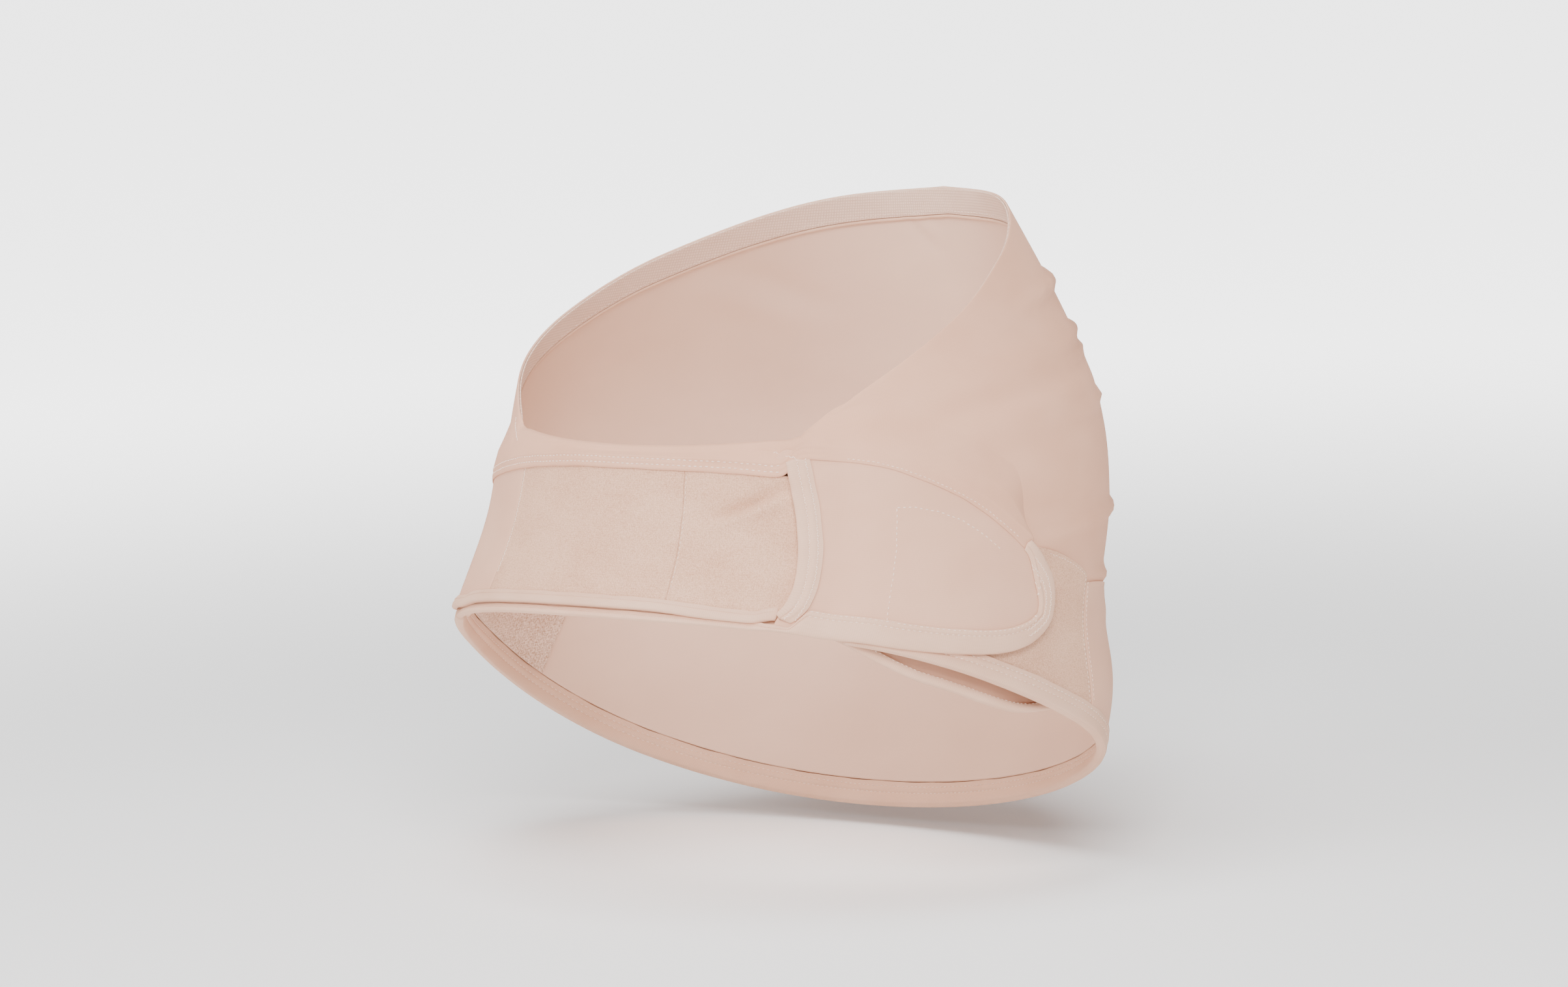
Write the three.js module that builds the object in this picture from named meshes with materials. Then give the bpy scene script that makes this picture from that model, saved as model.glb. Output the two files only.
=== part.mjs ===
// Maternity support belt, held open in the form it takes when worn.
// Millimetres, +Z up, +Y the wearer's front, +X the wearer's right. An angle of 0 is the middle
// of the back, 90 the wearer's right hip, 180 the middle of the belly.

import * as THREE from 'three';

// The body form that the belt is shaped to
const hipHalfWidth = 182;
const hipBackReach = 180;
const bellyReach = 146;
const formHeight = 330;
const formFoot = -118;

// The rims of the whole belt
const backRimTop = 95.5;
const bellyRimTop = 195;
const cornerRise = 3;
const cornerAngle = 36;
const backRimFoot = 16.5;
const bellyRimFoot = -112;
const sideFullness = 10;
const hollowBack = 8;
const rightHike = 1.8;
const frontHike = 5.5;
const hikeStartAngle = 75;
const hikeFullAngle = 130;

// Walls of cloth, and the air between one layer and the next
const jerseyWall = 1.2;
const beltWall = 1.4;
const patchWall = 1.2;
const hookWall = 1.0;
const bandWall = 1.4;
const bindingWall = 0.8;
const hemWall = 1.2;
const elasticWall = 1.2;
const layerGap = 0.5;
const seamGap = 0.5;
const seamScale = 2.6; // millimetres round the belt for one degree, beside its seams

// Trims
const elasticWidth = 14;
const elasticInset = 1;
const elasticDelay = 2;
const bindingWidth = 9.5;
const slotBindingWidth = 10;
const innerRimWidth = 4;
const hemTuck = 4.5;
const hemWidth = 12;
const hemFall = 5;

// Belts, slot and patches
const beltHeight = 78;
const tabAngle = 88.3;
const tabSeamAngle = 79;
const tabSeamSpread = [-6, 3];
const tipTurns = [5, 3.2, 2, 1, 0]; // degrees short of the tab's tip, where its edges curve in
const tipSpread = 6;
const straightAngle = 82;
const anchorAngle = 50;
const hipStepSpread = 8;
const slotAngle = 35;
const slotWidth = 6;
const slotLift = 1.2;
const slotLiftSpread = [3, 9];
const slotPassSpread = 3;
const loopStartAngle = -28;
const loopSeamAngle = 14;
const crossingRise = 4;
const neckRise = 5.5;
const neckDrop = 13.5;
const neckDelay = 8;
const neckEndAngle = 33;
const hemCornerSpread = [-4, 8];
const hemSeamClearance = [0.5, 0.2];
const hipPatchAngle = 57;
const frontSeamAngle = 103;
const hookPatchAngle = 53;
const hookPatchInset = 13;
const hookPatchTipInset = 4.5;
const frontBandTop = 18;
const frontBandDrop = 28;
const frontBandLevelAngle = 97;
const frontBandLowAngle = 168;
const sagDrop = 5;
const sagInward = 8;
const sagStartAngle = 40;
const sagEndAngle = 104;
const sagFullAngles = [62, 70];
const sinkFullAngles = [64, 82];
const sinkLate = 4;
const sinkHeights = [6, 48];
const rightLiftAngle = 80;
const leftLiftSpread = [8, 2];
const innerRimShort = [2, 6];
const columnStep = 5;
const steepest = 1.6;

// Sections of the body form: level as a share of its height above its foot, then the half width
// and the reach to the back and to the front as shares of their sizes
const formSections = [
  { level: 0.00, width: 0.955, back: 1.00, front: 0.40 },
  { level: 0.18, width: 0.985, back: 0.99, front: 0.705 },
  { level: 0.36, width: 0.895, back: 0.89, front: 0.87 },
  { level: 0.51, width: 0.855, back: 0.75, front: 1.00 },
  { level: 0.66, width: 0.815, back: 0.695, front: 0.995 },
  { level: 0.81, width: 0.67, back: 0.725, front: 0.965 },
  { level: 1.00, width: 0.445, back: 0.765, front: 0.86 },
];

// Upper rim from the corner of the back to the middle of the belly: share of the way round, and
// share of the rise from the back to the belly
const rimSections = [
  { along: 0.00, rise: 0.04 },
  { along: 0.08, rise: 0.205 },
  { along: 0.17, rise: 0.345 },
  { along: 0.31, rise: 0.535 },
  { along: 0.47, rise: 0.735 },
  { along: 0.72, rise: 0.945 },
  { along: 1.00, rise: 1.00 },
];

// Outline of a belt from the slot to the tip of its tab: share of the way along, then the upper
// and lower edge as shares of the belt's height, above its foot at the slot
const tabSections = [
  { along: 0.00, top: 1.10, foot: 0.02 },
  { along: 0.25, top: 1.04, foot: -0.045 },
  { along: 0.43, top: 0.92, foot: -0.11 },
  { along: 0.61, top: 0.745, foot: -0.165 },
  { along: 0.79, top: 0.50, foot: -0.195 },
  { along: 0.90, top: 0.345, foot: -0.17 },
  { along: 0.96, top: 0.22, foot: -0.115 },
  { along: 0.99, top: 0.12, foot: -0.06 },
  { along: 1.00, top: 0.05, foot: -0.015 },
];

// Lower edge of the left and back hem, from the slot round to the left tab: share of the way
// along, and share of the belt's height above its foot at the slot
const hemSections = [
  { along: 0.00, low: 0.96 },
  { along: 0.13, low: 0.98 },
  { along: 0.37, low: 0.97 },
  { along: 0.51, low: 0.92 },
  { along: 0.59, low: 0.87 },
  { along: 0.70, low: 0.78 },
  { along: 1.00, low: 0.46 },
];

// Upper edge of a hip patch, from its back end to the front seam: share of the way along, and
// height as a share of the belt's height above its foot at the slot
const patchSections = [
  { along: 0.00, top: 0.50 },
  { along: 0.33, top: 0.46 },
  { along: 0.59, top: 0.39 },
  { along: 0.75, top: 0.325 },
  { along: 0.89, top: 0.24 },
  { along: 1.00, top: 0.16 },
];

// What the sizes above give
const slotFoot = rimFoot(slotAngle + columnStep);
const innerLane = jerseyWall + layerGap;
const outerLane = innerLane + beltWall + layerGap;
const hipStack = patchWall + layerGap + hookWall;
const bandStack = bandWall + layerGap + bindingWall;
const hipLane = innerLane + Math.max(hipStack, bandStack) + layerGap;
const seamHalf = seamGap / 2 / seamScale;
const edgeGap = layerGap + bindingWall;
const elasticStart = cornerAngle + elasticDelay;
const paint = {
  jersey: { color: 0xd9c5b8, roughness: 0.86 },
  firm: { color: 0xd8c4b7, roughness: 0.8 },
  loop: { color: 0xd3bfae, roughness: 0.97 },
  hook: { color: 0xcbb6a6, roughness: 0.7 },
  trim: { color: 0xdac6b9, roughness: 0.78 },
  elastic: { color: 0xd2bcab, roughness: 0.9 },
};

function radians(angle) {
  return (angle * Math.PI) / 180;
}

function smooth(value, from, to) {
  const share = THREE.MathUtils.clamp((value - from) / (to - from), 0, 1);
  return share * share * (3 - 2 * share);
}

// A smooth curve through one column of a table, read at any place of its first column
function readTable(rows, place, key, value) {
  const last = rows.length - 1;
  const at = THREE.MathUtils.clamp(value, rows[0][place], rows[last][place]);
  let row = 0;
  while (row < last - 1 && at > rows[row + 1][place]) row += 1;
  const slope = (index) => {
    const before = rows[Math.max(index - 1, 0)];
    const after = rows[Math.min(index + 1, last)];
    return (after[key] - before[key]) / (after[place] - before[place]);
  };
  const span = rows[row + 1][place] - rows[row][place];
  const share = (at - rows[row][place]) / span;
  const ease = share * share * (3 - 2 * share);
  const start = share * (1 - share) * (1 - share) * span * slope(row);
  const end = share * share * (share - 1) * span * slope(row + 1);
  return rows[row][key] * (1 - ease) + rows[row + 1][key] * ease + start + end;
}

// The body form

function formSize(key, height) {
  return readTable(formSections, 'level', key, (height - formFoot) / formHeight);
}

function bodyPoint(angle, height) {
  const width = hipHalfWidth * formSize('width', height);
  const back = hipBackReach * formSize('back', height);
  const front = bellyReach * formSize('front', height);
  const turn = radians(angle);
  const depth = (front - back) / 2 - ((front + back) / 2) * Math.cos(turn);
  return new THREE.Vector3(width * Math.sin(turn), depth, height);
}

function onBody(angle, height, out) {
  const probe = 0.5;
  const round = bodyPoint(angle + probe, height).sub(bodyPoint(angle - probe, height));
  const rise = bodyPoint(angle, height + probe).sub(bodyPoint(angle, height - probe));
  return bodyPoint(angle, height).addScaledVector(round.cross(rise).normalize(), out);
}

function millimetresPerDegree(angle, height) {
  return bodyPoint(angle + 0.5, height).distanceTo(bodyPoint(angle - 0.5, height));
}

// Edges of the layers, each a height at an angle

function turnedAngle(angle) {
  return THREE.MathUtils.euclideanModulo(angle + 180, 360) - 180;
}

function fromBack(angle) {
  return Math.abs(turnedAngle(angle));
}

function rimTop(angle) {
  const away = fromBack(angle);
  const hike = backRimTop + rightHike * Math.sin(radians(angle));
  if (away <= cornerAngle) return hike + cornerRise * (away / cornerAngle) ** 2;
  const along = (away - cornerAngle) / (180 - cornerAngle);
  return hike + (bellyRimTop - backRimTop) * readTable(rimSections, 'along', 'rise', along);
}

function rimFoot(angle) {
  const middle = (backRimFoot + bellyRimFoot) / 2;
  const swing = (backRimFoot - bellyRimFoot) / 2;
  const cos = Math.cos(radians(angle));
  const sin = Math.sin(radians(angle));
  const fullness = (sideFullness + hollowBack * cos) * sin * sin;
  const hike = rightHike + frontHike * smooth(fromBack(angle), hikeStartAngle, hikeFullAngle);
  return middle + swing * cos + fullness + hike * sin;
}

function tabEdge(angle, key) {
  const along = (Math.abs(angle) - slotAngle) / (tabAngle - slotAngle);
  return slotFoot + beltHeight * readTable(tabSections, 'along', key, along);
}

// The height that lies a distance in from an edge, measured square to it
function inFrom(edge, angle, distance) {
  const slope = (edge(angle + 0.5) - edge(angle - 0.5)) / millimetresPerDegree(angle, edge(angle));
  return edge(angle) + distance * Math.min(Math.hypot(1, slope), steepest);
}

function beltEdge(away, backEdge) {
  const blend = smooth(away, slotAngle, anchorAngle);
  return backEdge * (1 - blend) + tabEdge(away, 'foot') * blend;
}

function rightBeltEdge(angle) {
  return beltEdge(angle, rimFoot(angle));
}

function rightBeltFoot(angle) {
  return inFrom(rightBeltEdge, angle, edgeGap);
}

function hemLow(angle) {
  const along = (slotAngle - angle) / (slotAngle + tabSeamAngle);
  return slotFoot + beltHeight * readTable(hemSections, 'along', 'low', along);
}

function rightBeltTop(angle) {
  const outside = smooth(angle, slotAngle - slotWidth, slotAngle);
  const back = hemLow(Math.min(angle, slotAngle)) + hemTuck;
  return back * (1 - outside) + tabEdge(Math.max(angle, slotAngle), 'top') * outside;
}

function leftBeltTop(angle) {
  const [early, late] = tabSeamSpread;
  const tip = smooth(-angle, tabSeamAngle + early, tabSeamAngle + late);
  const neck = smooth(angle, loopSeamAngle, slotAngle - slotWidth);
  const back = hemLow(angle) + hemTuck;
  return back * (1 - tip) + tabEdge(angle, 'top') * tip - neckDrop * neck;
}

function leftBeltEdge(angle) {
  const neck = smooth(angle, loopSeamAngle + neckDelay, slotAngle - slotWidth);
  return beltEdge(-angle, rimFoot(angle) + crossingRise) + neckRise * neck;
}

function leftBeltFoot(angle) {
  return inFrom(leftBeltEdge, angle, edgeGap);
}

function rimFootIn(angle) {
  return inFrom(rimFoot, angle, edgeGap);
}

function hipPatchTop(angle) {
  const along = (Math.abs(angle) - hipPatchAngle) / (frontSeamAngle - hipPatchAngle);
  return slotFoot + beltHeight * readTable(patchSections, 'along', 'top', along);
}

function frontTop(angle) {
  return frontBandTop - frontBandDrop * smooth(fromBack(angle), frontBandLevelAngle, frontBandLowAngle);
}

// Lower edge of the jersey wall: above the binding's inner leg at the front and on the left, low
// and free where it hangs inside the right hip
function sagShare(angle) {
  const [full, easing] = sagFullAngles;
  const turned = turnedAngle(angle);
  return smooth(turned, sagStartAngle, full) * (1 - smooth(turned, easing, sagEndAngle));
}

function jerseyFoot(angle) {
  const turned = turnedAngle(angle);
  const [early, late] = leftLiftSpread;
  const right = smooth(turned, rightLiftAngle, sagEndAngle);
  const left = smooth(-turned, hipPatchAngle - early, hipPatchAngle - late);
  const lifted = Math.max(right, left) * (bindingWidth + seamGap);
  return inFrom(rimFoot, angle, edgeGap + lifted) - (sagDrop + edgeGap) * sagShare(angle);
}

// How far the jersey wall hangs inward, by height above its lower edge
function jerseySink(angle, height) {
  const turned = turnedAngle(angle);
  const [full, easing] = sinkFullAngles;
  const [level, plain] = sinkHeights;
  const ending = 1 - smooth(turned, easing, sagEndAngle + sinkLate);
  const around = smooth(turned, sagStartAngle, full) * ending;
  const nearEdge = 1 - smooth(height, jerseyFoot(angle) + level, jerseyFoot(angle) + plain);
  return sagInward * around * nearEdge;
}

// Inner face of each belt, stepping outward as it passes over other layers

function rightBeltInside(angle) {
  const crossed = smooth(angle, slotAngle - slotWidth, slotAngle);
  const [near, far] = slotLiftSpread;
  const edge = slotLift * crossed * (1 - smooth(angle, slotAngle + near, slotAngle + far));
  const hip = smooth(angle, anchorAngle - hipStepSpread, anchorAngle);
  return innerLane + (outerLane - innerLane) * crossed + (hipLane - outerLane) * hip + edge;
}

function leftBeltInside(angle) {
  const crossed = 1 - smooth(angle, slotAngle - slotWidth, slotAngle + slotPassSpread);
  const hip = smooth(-angle, anchorAngle - hipStepSpread, anchorAngle);
  return innerLane + (outerLane - innerLane) * crossed + (hipLane - outerLane) * hip;
}

// Solids

function finish(name, vertices, faces, look) {
  const geometry = new THREE.BufferGeometry();
  const flat = vertices.flatMap((point) => [point.x, point.y, point.z]);
  geometry.setAttribute('position', new THREE.Float32BufferAttribute(flat, 3));
  geometry.setIndex(faces.flat());
  geometry.computeVertexNormals();
  const material = new THREE.MeshStandardMaterial({ ...look, metalness: 0 });
  const mesh = new THREE.Mesh(geometry, material);
  mesh.name = name;
  return mesh;
}

// Angles from one to another: both ends, any extra ones, and every whole step between
function columnsBetween(from, to, extra = []) {
  const angles = [from, ...extra, to];
  for (let at = Math.ceil(from / columnStep) * columnStep; at < to; at += columnStep) {
    if (angles.every((angle) => Math.abs(angle - at) > 1)) angles.push(at);
  }
  return angles.sort((one, other) => one - other);
}

// A wall of cloth between two edges, with an inner and an outer face; cells can be left open
function clothWall(name, look, cloth) {
  const { angles, shares, low, high, inside, wall } = cloth;
  const ring = cloth.ring ?? false;
  const open = cloth.open ?? (() => false);
  const vertices = [];
  const rows = shares.length;
  for (const angle of angles) {
    for (const share of shares) {
      const height = low(angle) + (high(angle) - low(angle)) * share;
      const out = inside(angle, height);
      vertices.push(onBody(angle, height, out), onBody(angle, height, out + wall));
    }
  }
  const columns = angles.length;
  const cells = ring ? columns : columns - 1;
  const there = (column, row) => {
    if (row < 0 || row >= rows - 1) return false;
    if (!ring && (column < 0 || column >= cells)) return false;
    return !open((column + cells) % cells, row);
  };
  const corner = (column, row, face) => ((column % columns) * rows + row) * 2 + face;
  const faces = [];
  const quad = (a, b, c, d) => faces.push([a, b, c], [a, c, d]);
  for (let column = 0; column < cells; column += 1) {
    for (let row = 0; row < rows - 1; row += 1) {
      if (!there(column, row)) continue;
      const around = [[column, row], [column + 1, row], [column + 1, row + 1], [column, row + 1]];
      const outer = around.map(([across, up]) => corner(across, up, 1));
      const inner = around.map(([across, up]) => corner(across, up, 0));
      quad(...outer);
      quad(...inner.toReversed());
      const beside = [[column, row - 1], [column + 1, row], [column, row + 1], [column - 1, row]];
      beside.forEach(([across, up], side) => {
        if (there(across, up)) return;
        const next = (side + 1) % 4;
        quad(outer[next], outer[side], inner[side], inner[next]);
      });
    }
  }
  return finish(name, usedOnly(vertices, faces), faces, look);
}

// Drops the points that no face uses, such as those inside an opening, and renumbers the faces
function usedOnly(vertices, faces) {
  const used = new Map();
  const kept = [];
  for (const face of faces) {
    face.forEach((index, place) => {
      if (!used.has(index)) {
        used.set(index, kept.length);
        kept.push(vertices[index]);
      }
      face[place] = used.get(index);
    });
  }
  return kept;
}

// A trim swept along an edge: its section holds the distance in from the edge, on the left of the
// way along, and the distance out from the body
function edgeTrim(name, look, path, sectionAt) {
  const vertices = [];
  path.forEach((point, index) => {
    const before = path[Math.max(index - 1, 0)];
    const after = path[Math.min(index + 1, path.length - 1)];
    const scale = millimetresPerDegree(point.angle, point.height);
    const along = new THREE.Vector2(
      (after.angle - before.angle) * scale,
      after.height - before.height,
    ).normalize();
    for (const [inward, out] of sectionAt(point)) {
      const angle = point.angle - (along.y * inward) / scale;
      const height = point.height + along.x * inward;
      vertices.push(onBody(angle, height, out));
    }
  });
  const section = sectionAt(path[0]).map(([inward, out]) => new THREE.Vector2(inward, out));
  const size = section.length;
  const caps = THREE.ShapeUtils.triangulateShape(section, []);
  const clockwise = THREE.ShapeUtils.isClockWise(section);
  const turned = (face) => (clockwise ? face.toReversed() : face);
  const faces = [];
  for (let step = 0; step < path.length - 1; step += 1) {
    for (let side = 0; side < size; side += 1) {
      const here = step * size + side;
      const beside = step * size + ((side + 1) % size);
      faces.push(turned([here, beside, beside + size]));
      faces.push(turned([here, beside + size, here + size]));
    }
  }
  const end = (path.length - 1) * size;
  const facing = (face, outward) => {
    const [a, b, c] = face.map((index) => section[index]);
    const left = (b.x - a.x) * (c.y - a.y) - (b.y - a.y) * (c.x - a.x) > 0;
    return left === outward ? face : face.toReversed();
  };
  for (const cap of caps) {
    faces.push(facing(cap, false));
    faces.push(facing(cap, true).map((index) => index + end));
  }
  return finish(name, vertices, faces, look);
}

// Binding sections: a lip under the edge with one leg outside, or with a leg on both sides
function lipSection(inside, outside, leg) {
  const gap = layerGap;
  const wall = bindingWall;
  return [
    [0, inside],
    [0, outside + gap + wall],
    [wall + leg, outside + gap + wall],
    [wall + leg, outside + gap],
    [wall, outside + gap],
    [wall, inside],
  ];
}

function wrapSection(inside, outside, leg) {
  const gap = layerGap;
  const wall = bindingWall;
  return [
    [0, inside - gap - wall],
    [0, outside + gap + wall],
    [wall + leg, outside + gap + wall],
    [wall + leg, outside + gap],
    [wall, outside + gap],
    [wall, inside - gap],
    [wall + leg, inside - gap],
    [wall + leg, inside - gap - wall],
  ];
}

const belt = new THREE.Group();

// Jersey wall and its elastic

belt.add(clothWall('belly_panel', paint.jersey, {
  angles: columnsBetween(0, 360, [cornerAngle, 360 - cornerAngle]).slice(0, -1),
  shares: [0, 0.04, 0.08, 0.12, 0.16, 0.2, 0.25, 0.3, 0.36, 0.43, 0.52, 0.63, 0.75, 0.88, 1],
  low: jerseyFoot,
  high: rimTop,
  inside: (angle, height) => -jerseySink(angle, height),
  wall: jerseyWall,
  ring: true,
}));

belt.add(clothWall('waist_elastic', paint.elastic, {
  angles: columnsBetween(elasticStart, 360 - elasticStart),
  shares: [0, 1],
  low: (angle) => rimTop(angle) - elasticWidth,
  high: (angle) => rimTop(angle) - elasticInset,
  inside: () => -layerGap - elasticWall,
  wall: elasticWall,
}));

// Belts: the right one runs under the left one at the back and lets it through its slot

const slotRows = [0, 0.1, 0.3, 0.5, 0.7, 0.86, 1];
const slotStart = slotAngle - slotWidth;
const tipColumns = [5, 2]; // degrees short of the tip, where the outline turns in
const rightAngles = columnsBetween(-anchorAngle, tabAngle, [
  slotStart, slotAngle, ...tipColumns.map((short) => tabAngle - short),
]);
const slotColumns = rightAngles.map((angle) => angle >= slotStart && angle < slotAngle);

belt.add(clothWall('right_belt', paint.firm, {
  angles: rightAngles,
  shares: slotRows,
  low: rightBeltFoot,
  high: rightBeltTop,
  inside: rightBeltInside,
  wall: beltWall,
  open: (column, row) => slotColumns[column] && row > 0 && row < slotRows.length - 2,
}));

function leftBeltPart(name, look, from, to, extra) {
  belt.add(clothWall(name, look, {
    angles: columnsBetween(from, to, extra),
    shares: [0, 0.17, 0.33, 0.5, 0.67, 0.83, 1],
    low: leftBeltFoot,
    high: leftBeltTop,
    inside: leftBeltInside,
    wall: beltWall,
  }));
}

leftBeltPart('left_belt', paint.firm, -tabAngle, loopStartAngle - seamHalf, [
  ...tipColumns.map((short) => short - tabAngle),
]);
leftBeltPart('back_loop_panel', paint.loop, loopStartAngle + seamHalf, loopSeamAngle - seamHalf, []);
leftBeltPart('slot_end_panel', paint.loop, loopSeamAngle + seamHalf, anchorAngle, [
  slotStart, slotAngle - slotPassSpread, slotAngle, slotAngle + slotPassSpread,
]);

// Hip patches, front band and the coarse inner face at the left hip

function hipPatch(name, from, to) {
  belt.add(clothWall(name, paint.loop, {
    angles: columnsBetween(from, to),
    shares: [0, 0.2, 0.4, 0.6, 0.8, 1],
    low: rimFootIn,
    high: hipPatchTop,
    inside: () => innerLane,
    wall: patchWall,
  }));
}

hipPatch('right_hip_loop_patch', hipPatchAngle, frontSeamAngle - seamHalf);
hipPatch('left_hip_loop_patch', seamHalf - frontSeamAngle, -hipPatchAngle);

belt.add(clothWall('front_band', paint.firm, {
  angles: columnsBetween(frontSeamAngle + seamHalf, 360 - frontSeamAngle - seamHalf),
  shares: [0, 0.13, 0.26, 0.4, 0.55, 0.7, 0.85, 1],
  low: rimFootIn,
  high: frontTop,
  inside: () => innerLane,
  wall: bandWall,
}));

belt.add(clothWall('left_inner_patch', paint.loop, {
  angles: columnsBetween(-frontSeamAngle, -hipPatchAngle),
  shares: [0, 0.2, 0.4, 0.6, 0.8, 1],
  low: jerseyFoot,
  high: hipPatchTop,
  inside: () => -layerGap - patchWall,
  wall: patchWall,
}));

// Hook patches inside the tab ends, facing the hip patches

function hookPatch(name, from, to, foot, top, beltInside) {
  belt.add(clothWall(name, paint.hook, {
    angles: columnsBetween(from, to),
    shares: [0, 0.25, 0.5, 0.75, 1],
    low: (angle) => foot(angle) + hookPatchInset,
    high: (angle) => top(angle) - hookPatchInset - hemTuck,
    inside: (angle) => beltInside(angle) - layerGap - hookWall,
    wall: hookWall,
  }));
}

const hookTip = tabAngle - hookPatchTipInset;
hookPatch('right_hook_patch', hookPatchAngle, hookTip, rightBeltFoot, rightBeltTop, rightBeltInside);
hookPatch('left_hook_patch', -hookTip, -hookPatchAngle, leftBeltFoot, leftBeltTop, leftBeltInside);

// Bindings

// The free edge of a tab, from its lower edge round the tip to where its upper edge is sewn down,
// clear of the cloth by the binding's wall and a gap
function tabPath(foot, top) {
  const tipStep = edgeGap / millimetresPerDegree(tabAngle, slotFoot);
  const turn = tipTurns.map((short) => tabAngle - short);
  const moved = (angle) => angle + tipStep * smooth(angle, tabAngle - tipSpread, tabAngle);
  const lower = turn.map((angle) => ({ angle: moved(angle), at: angle, height: foot(angle) }));
  const upper = turn.toReversed().map((angle) => (
    { angle: moved(angle), at: angle, height: top(angle) + edgeGap }));
  return lower.concat(upper);
}

const rightPath = columnsBetween(-anchorAngle, straightAngle, [slotStart, slotAngle])
  .map((angle) => ({ angle, at: angle, height: rightBeltEdge(angle) }))
  .concat(tabPath(rightBeltEdge, rightBeltTop));

belt.add(edgeTrim('right_belt_binding', paint.trim, rightPath, ({ at }) => {
  const inside = rightBeltInside(at);
  const under = 1 - smooth(at, slotStart, slotAngle);
  const narrow = crossingRise - bindingWall - 2 * layerGap;
  return lipSection(inside, inside + beltWall, bindingWidth + (narrow - bindingWidth) * under);
}));

const leftPath = tabPath((angle) => leftBeltEdge(-angle), (angle) => leftBeltTop(-angle)).toReversed()
  .concat(columnsBetween(-neckEndAngle, straightAngle).toReversed()
    .map((angle) => ({ angle, at: angle, height: leftBeltEdge(-angle) })))
  .map(({ angle, at, height }) => ({ angle: -angle, at: -at, height }));

belt.add(edgeTrim('left_belt_binding', paint.trim, leftPath, ({ at }) => {
  const inside = leftBeltInside(at);
  return lipSection(inside, inside + beltWall, bindingWidth);
}));

const slotHeight = (row) => {
  const foot = rightBeltFoot(slotAngle);
  return foot + (rightBeltTop(slotAngle) - foot) * slotRows[row];
};
const slotEdge = slotAngle - edgeGap / millimetresPerDegree(slotAngle, slotFoot);
const slotTop = slotHeight(slotRows.length - 2) - layerGap;
const slotLow = inFrom(rightBeltEdge, slotAngle, bindingWall + bindingWidth) + 2 * layerGap;
const slotPath = [0, 0.2, 0.4, 0.6, 0.8, 1].map((share) => ({
  angle: slotEdge,
  height: THREE.MathUtils.lerp(slotTop, Math.max(slotLow, slotHeight(1)), share),
}));

belt.add(edgeTrim('slot_binding', paint.trim, slotPath, () => {
  const inside = rightBeltInside(slotAngle);
  return lipSection(inside, inside + beltWall, slotBindingWidth);
}));

const frontPath = columnsBetween(hipPatchAngle, 360 - hipPatchAngle)
  .map((angle) => ({ angle, height: rimFoot(angle) }));

belt.add(edgeTrim('lower_rim_binding', paint.trim, frontPath, () => (
  wrapSection(innerLane, innerLane + bandWall, bindingWidth))));

const [leftShort, rightShort] = innerRimShort;
const innerPath = columnsBetween(leftShort - anchorAngle, sagEndAngle - rightShort)
  .map((angle) => ({ angle, height: jerseyFoot(angle) - edgeGap }));

belt.add(edgeTrim('inner_rim_binding', paint.trim, innerPath, ({ angle }) => {
  const inside = -jerseySink(angle, jerseyFoot(angle));
  const outside = inside + jerseyWall;
  const leg = bindingWall + innerRimWidth;
  return [
    [0, outside],
    [0, inside - layerGap - bindingWall],
    [leg, inside - layerGap - bindingWall],
    [leg, inside - layerGap],
    [bindingWall, inside - layerGap],
    [bindingWall, outside],
  ];
}));

// Hems over the belts' upper edges: low on the belt, then down onto the jersey wall

function hemSection(beltOutside, tuck, width) {
  const low = beltOutside + layerGap;
  const step = tuck + layerGap;
  return [
    [0, low],
    [0, low + hemWall],
    [step, low + hemWall],
    [step + hemFall, innerLane + hemWall],
    [width, innerLane + hemWall],
    [width, innerLane],
    [step + hemFall - hemWall / 2, innerLane],
    [step, low],
  ];
}

const [beforeSlot, afterSlot] = hemSeamClearance;
const backHemPath = columnsBetween(-tabSeamAngle, slotAngle - beforeSlot, [slotStart])
  .map((angle) => ({ angle, height: hemLow(angle) }));

belt.add(edgeTrim('back_top_hem', paint.jersey, backHemPath, ({ angle }) => {
  const [early, late] = hemCornerSpread;
  const beside = smooth(Math.abs(angle), cornerAngle + early, cornerAngle + late);
  const strip = rimTop(Math.min(Math.abs(angle), cornerAngle)) - hemLow(angle);
  const under = Math.max(leftBeltInside(angle), rightBeltInside(angle)) + beltWall;
  const tuck = Math.max(leftBeltTop(angle), rightBeltTop(angle)) - hemLow(angle);
  return hemSection(under, tuck, strip + (hemWidth - strip) * beside);
}));

const rightHemPath = columnsBetween(slotAngle + afterSlot, tabSeamAngle)
  .map((angle) => ({ angle, height: rightBeltTop(angle) - hemTuck }));

belt.add(edgeTrim('right_seam_hem', paint.jersey, rightHemPath, ({ angle }) => (
  hemSection(rightBeltInside(angle) + beltWall, hemTuck, hemWidth))));

export default belt;
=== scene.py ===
import math

import bmesh
import bpy
import numpy as np
from mathutils import Matrix, Vector
from mathutils.bvhtree import BVHTree


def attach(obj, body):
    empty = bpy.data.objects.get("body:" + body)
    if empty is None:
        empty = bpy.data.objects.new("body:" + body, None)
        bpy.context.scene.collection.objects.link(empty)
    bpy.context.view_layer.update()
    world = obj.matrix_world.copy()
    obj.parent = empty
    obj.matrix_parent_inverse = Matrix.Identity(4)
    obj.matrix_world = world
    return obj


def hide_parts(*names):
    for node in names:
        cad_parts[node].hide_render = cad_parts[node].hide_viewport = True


# A maternity support belt in the form it takes when worn, held open by the body it is made for.
# Sizes are millimetres and angles are degrees round the body: 0 the middle of the back, 90 the
# wearer's right hip, 180 the middle of the belly. Points become metres when a mesh is made.

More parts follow.
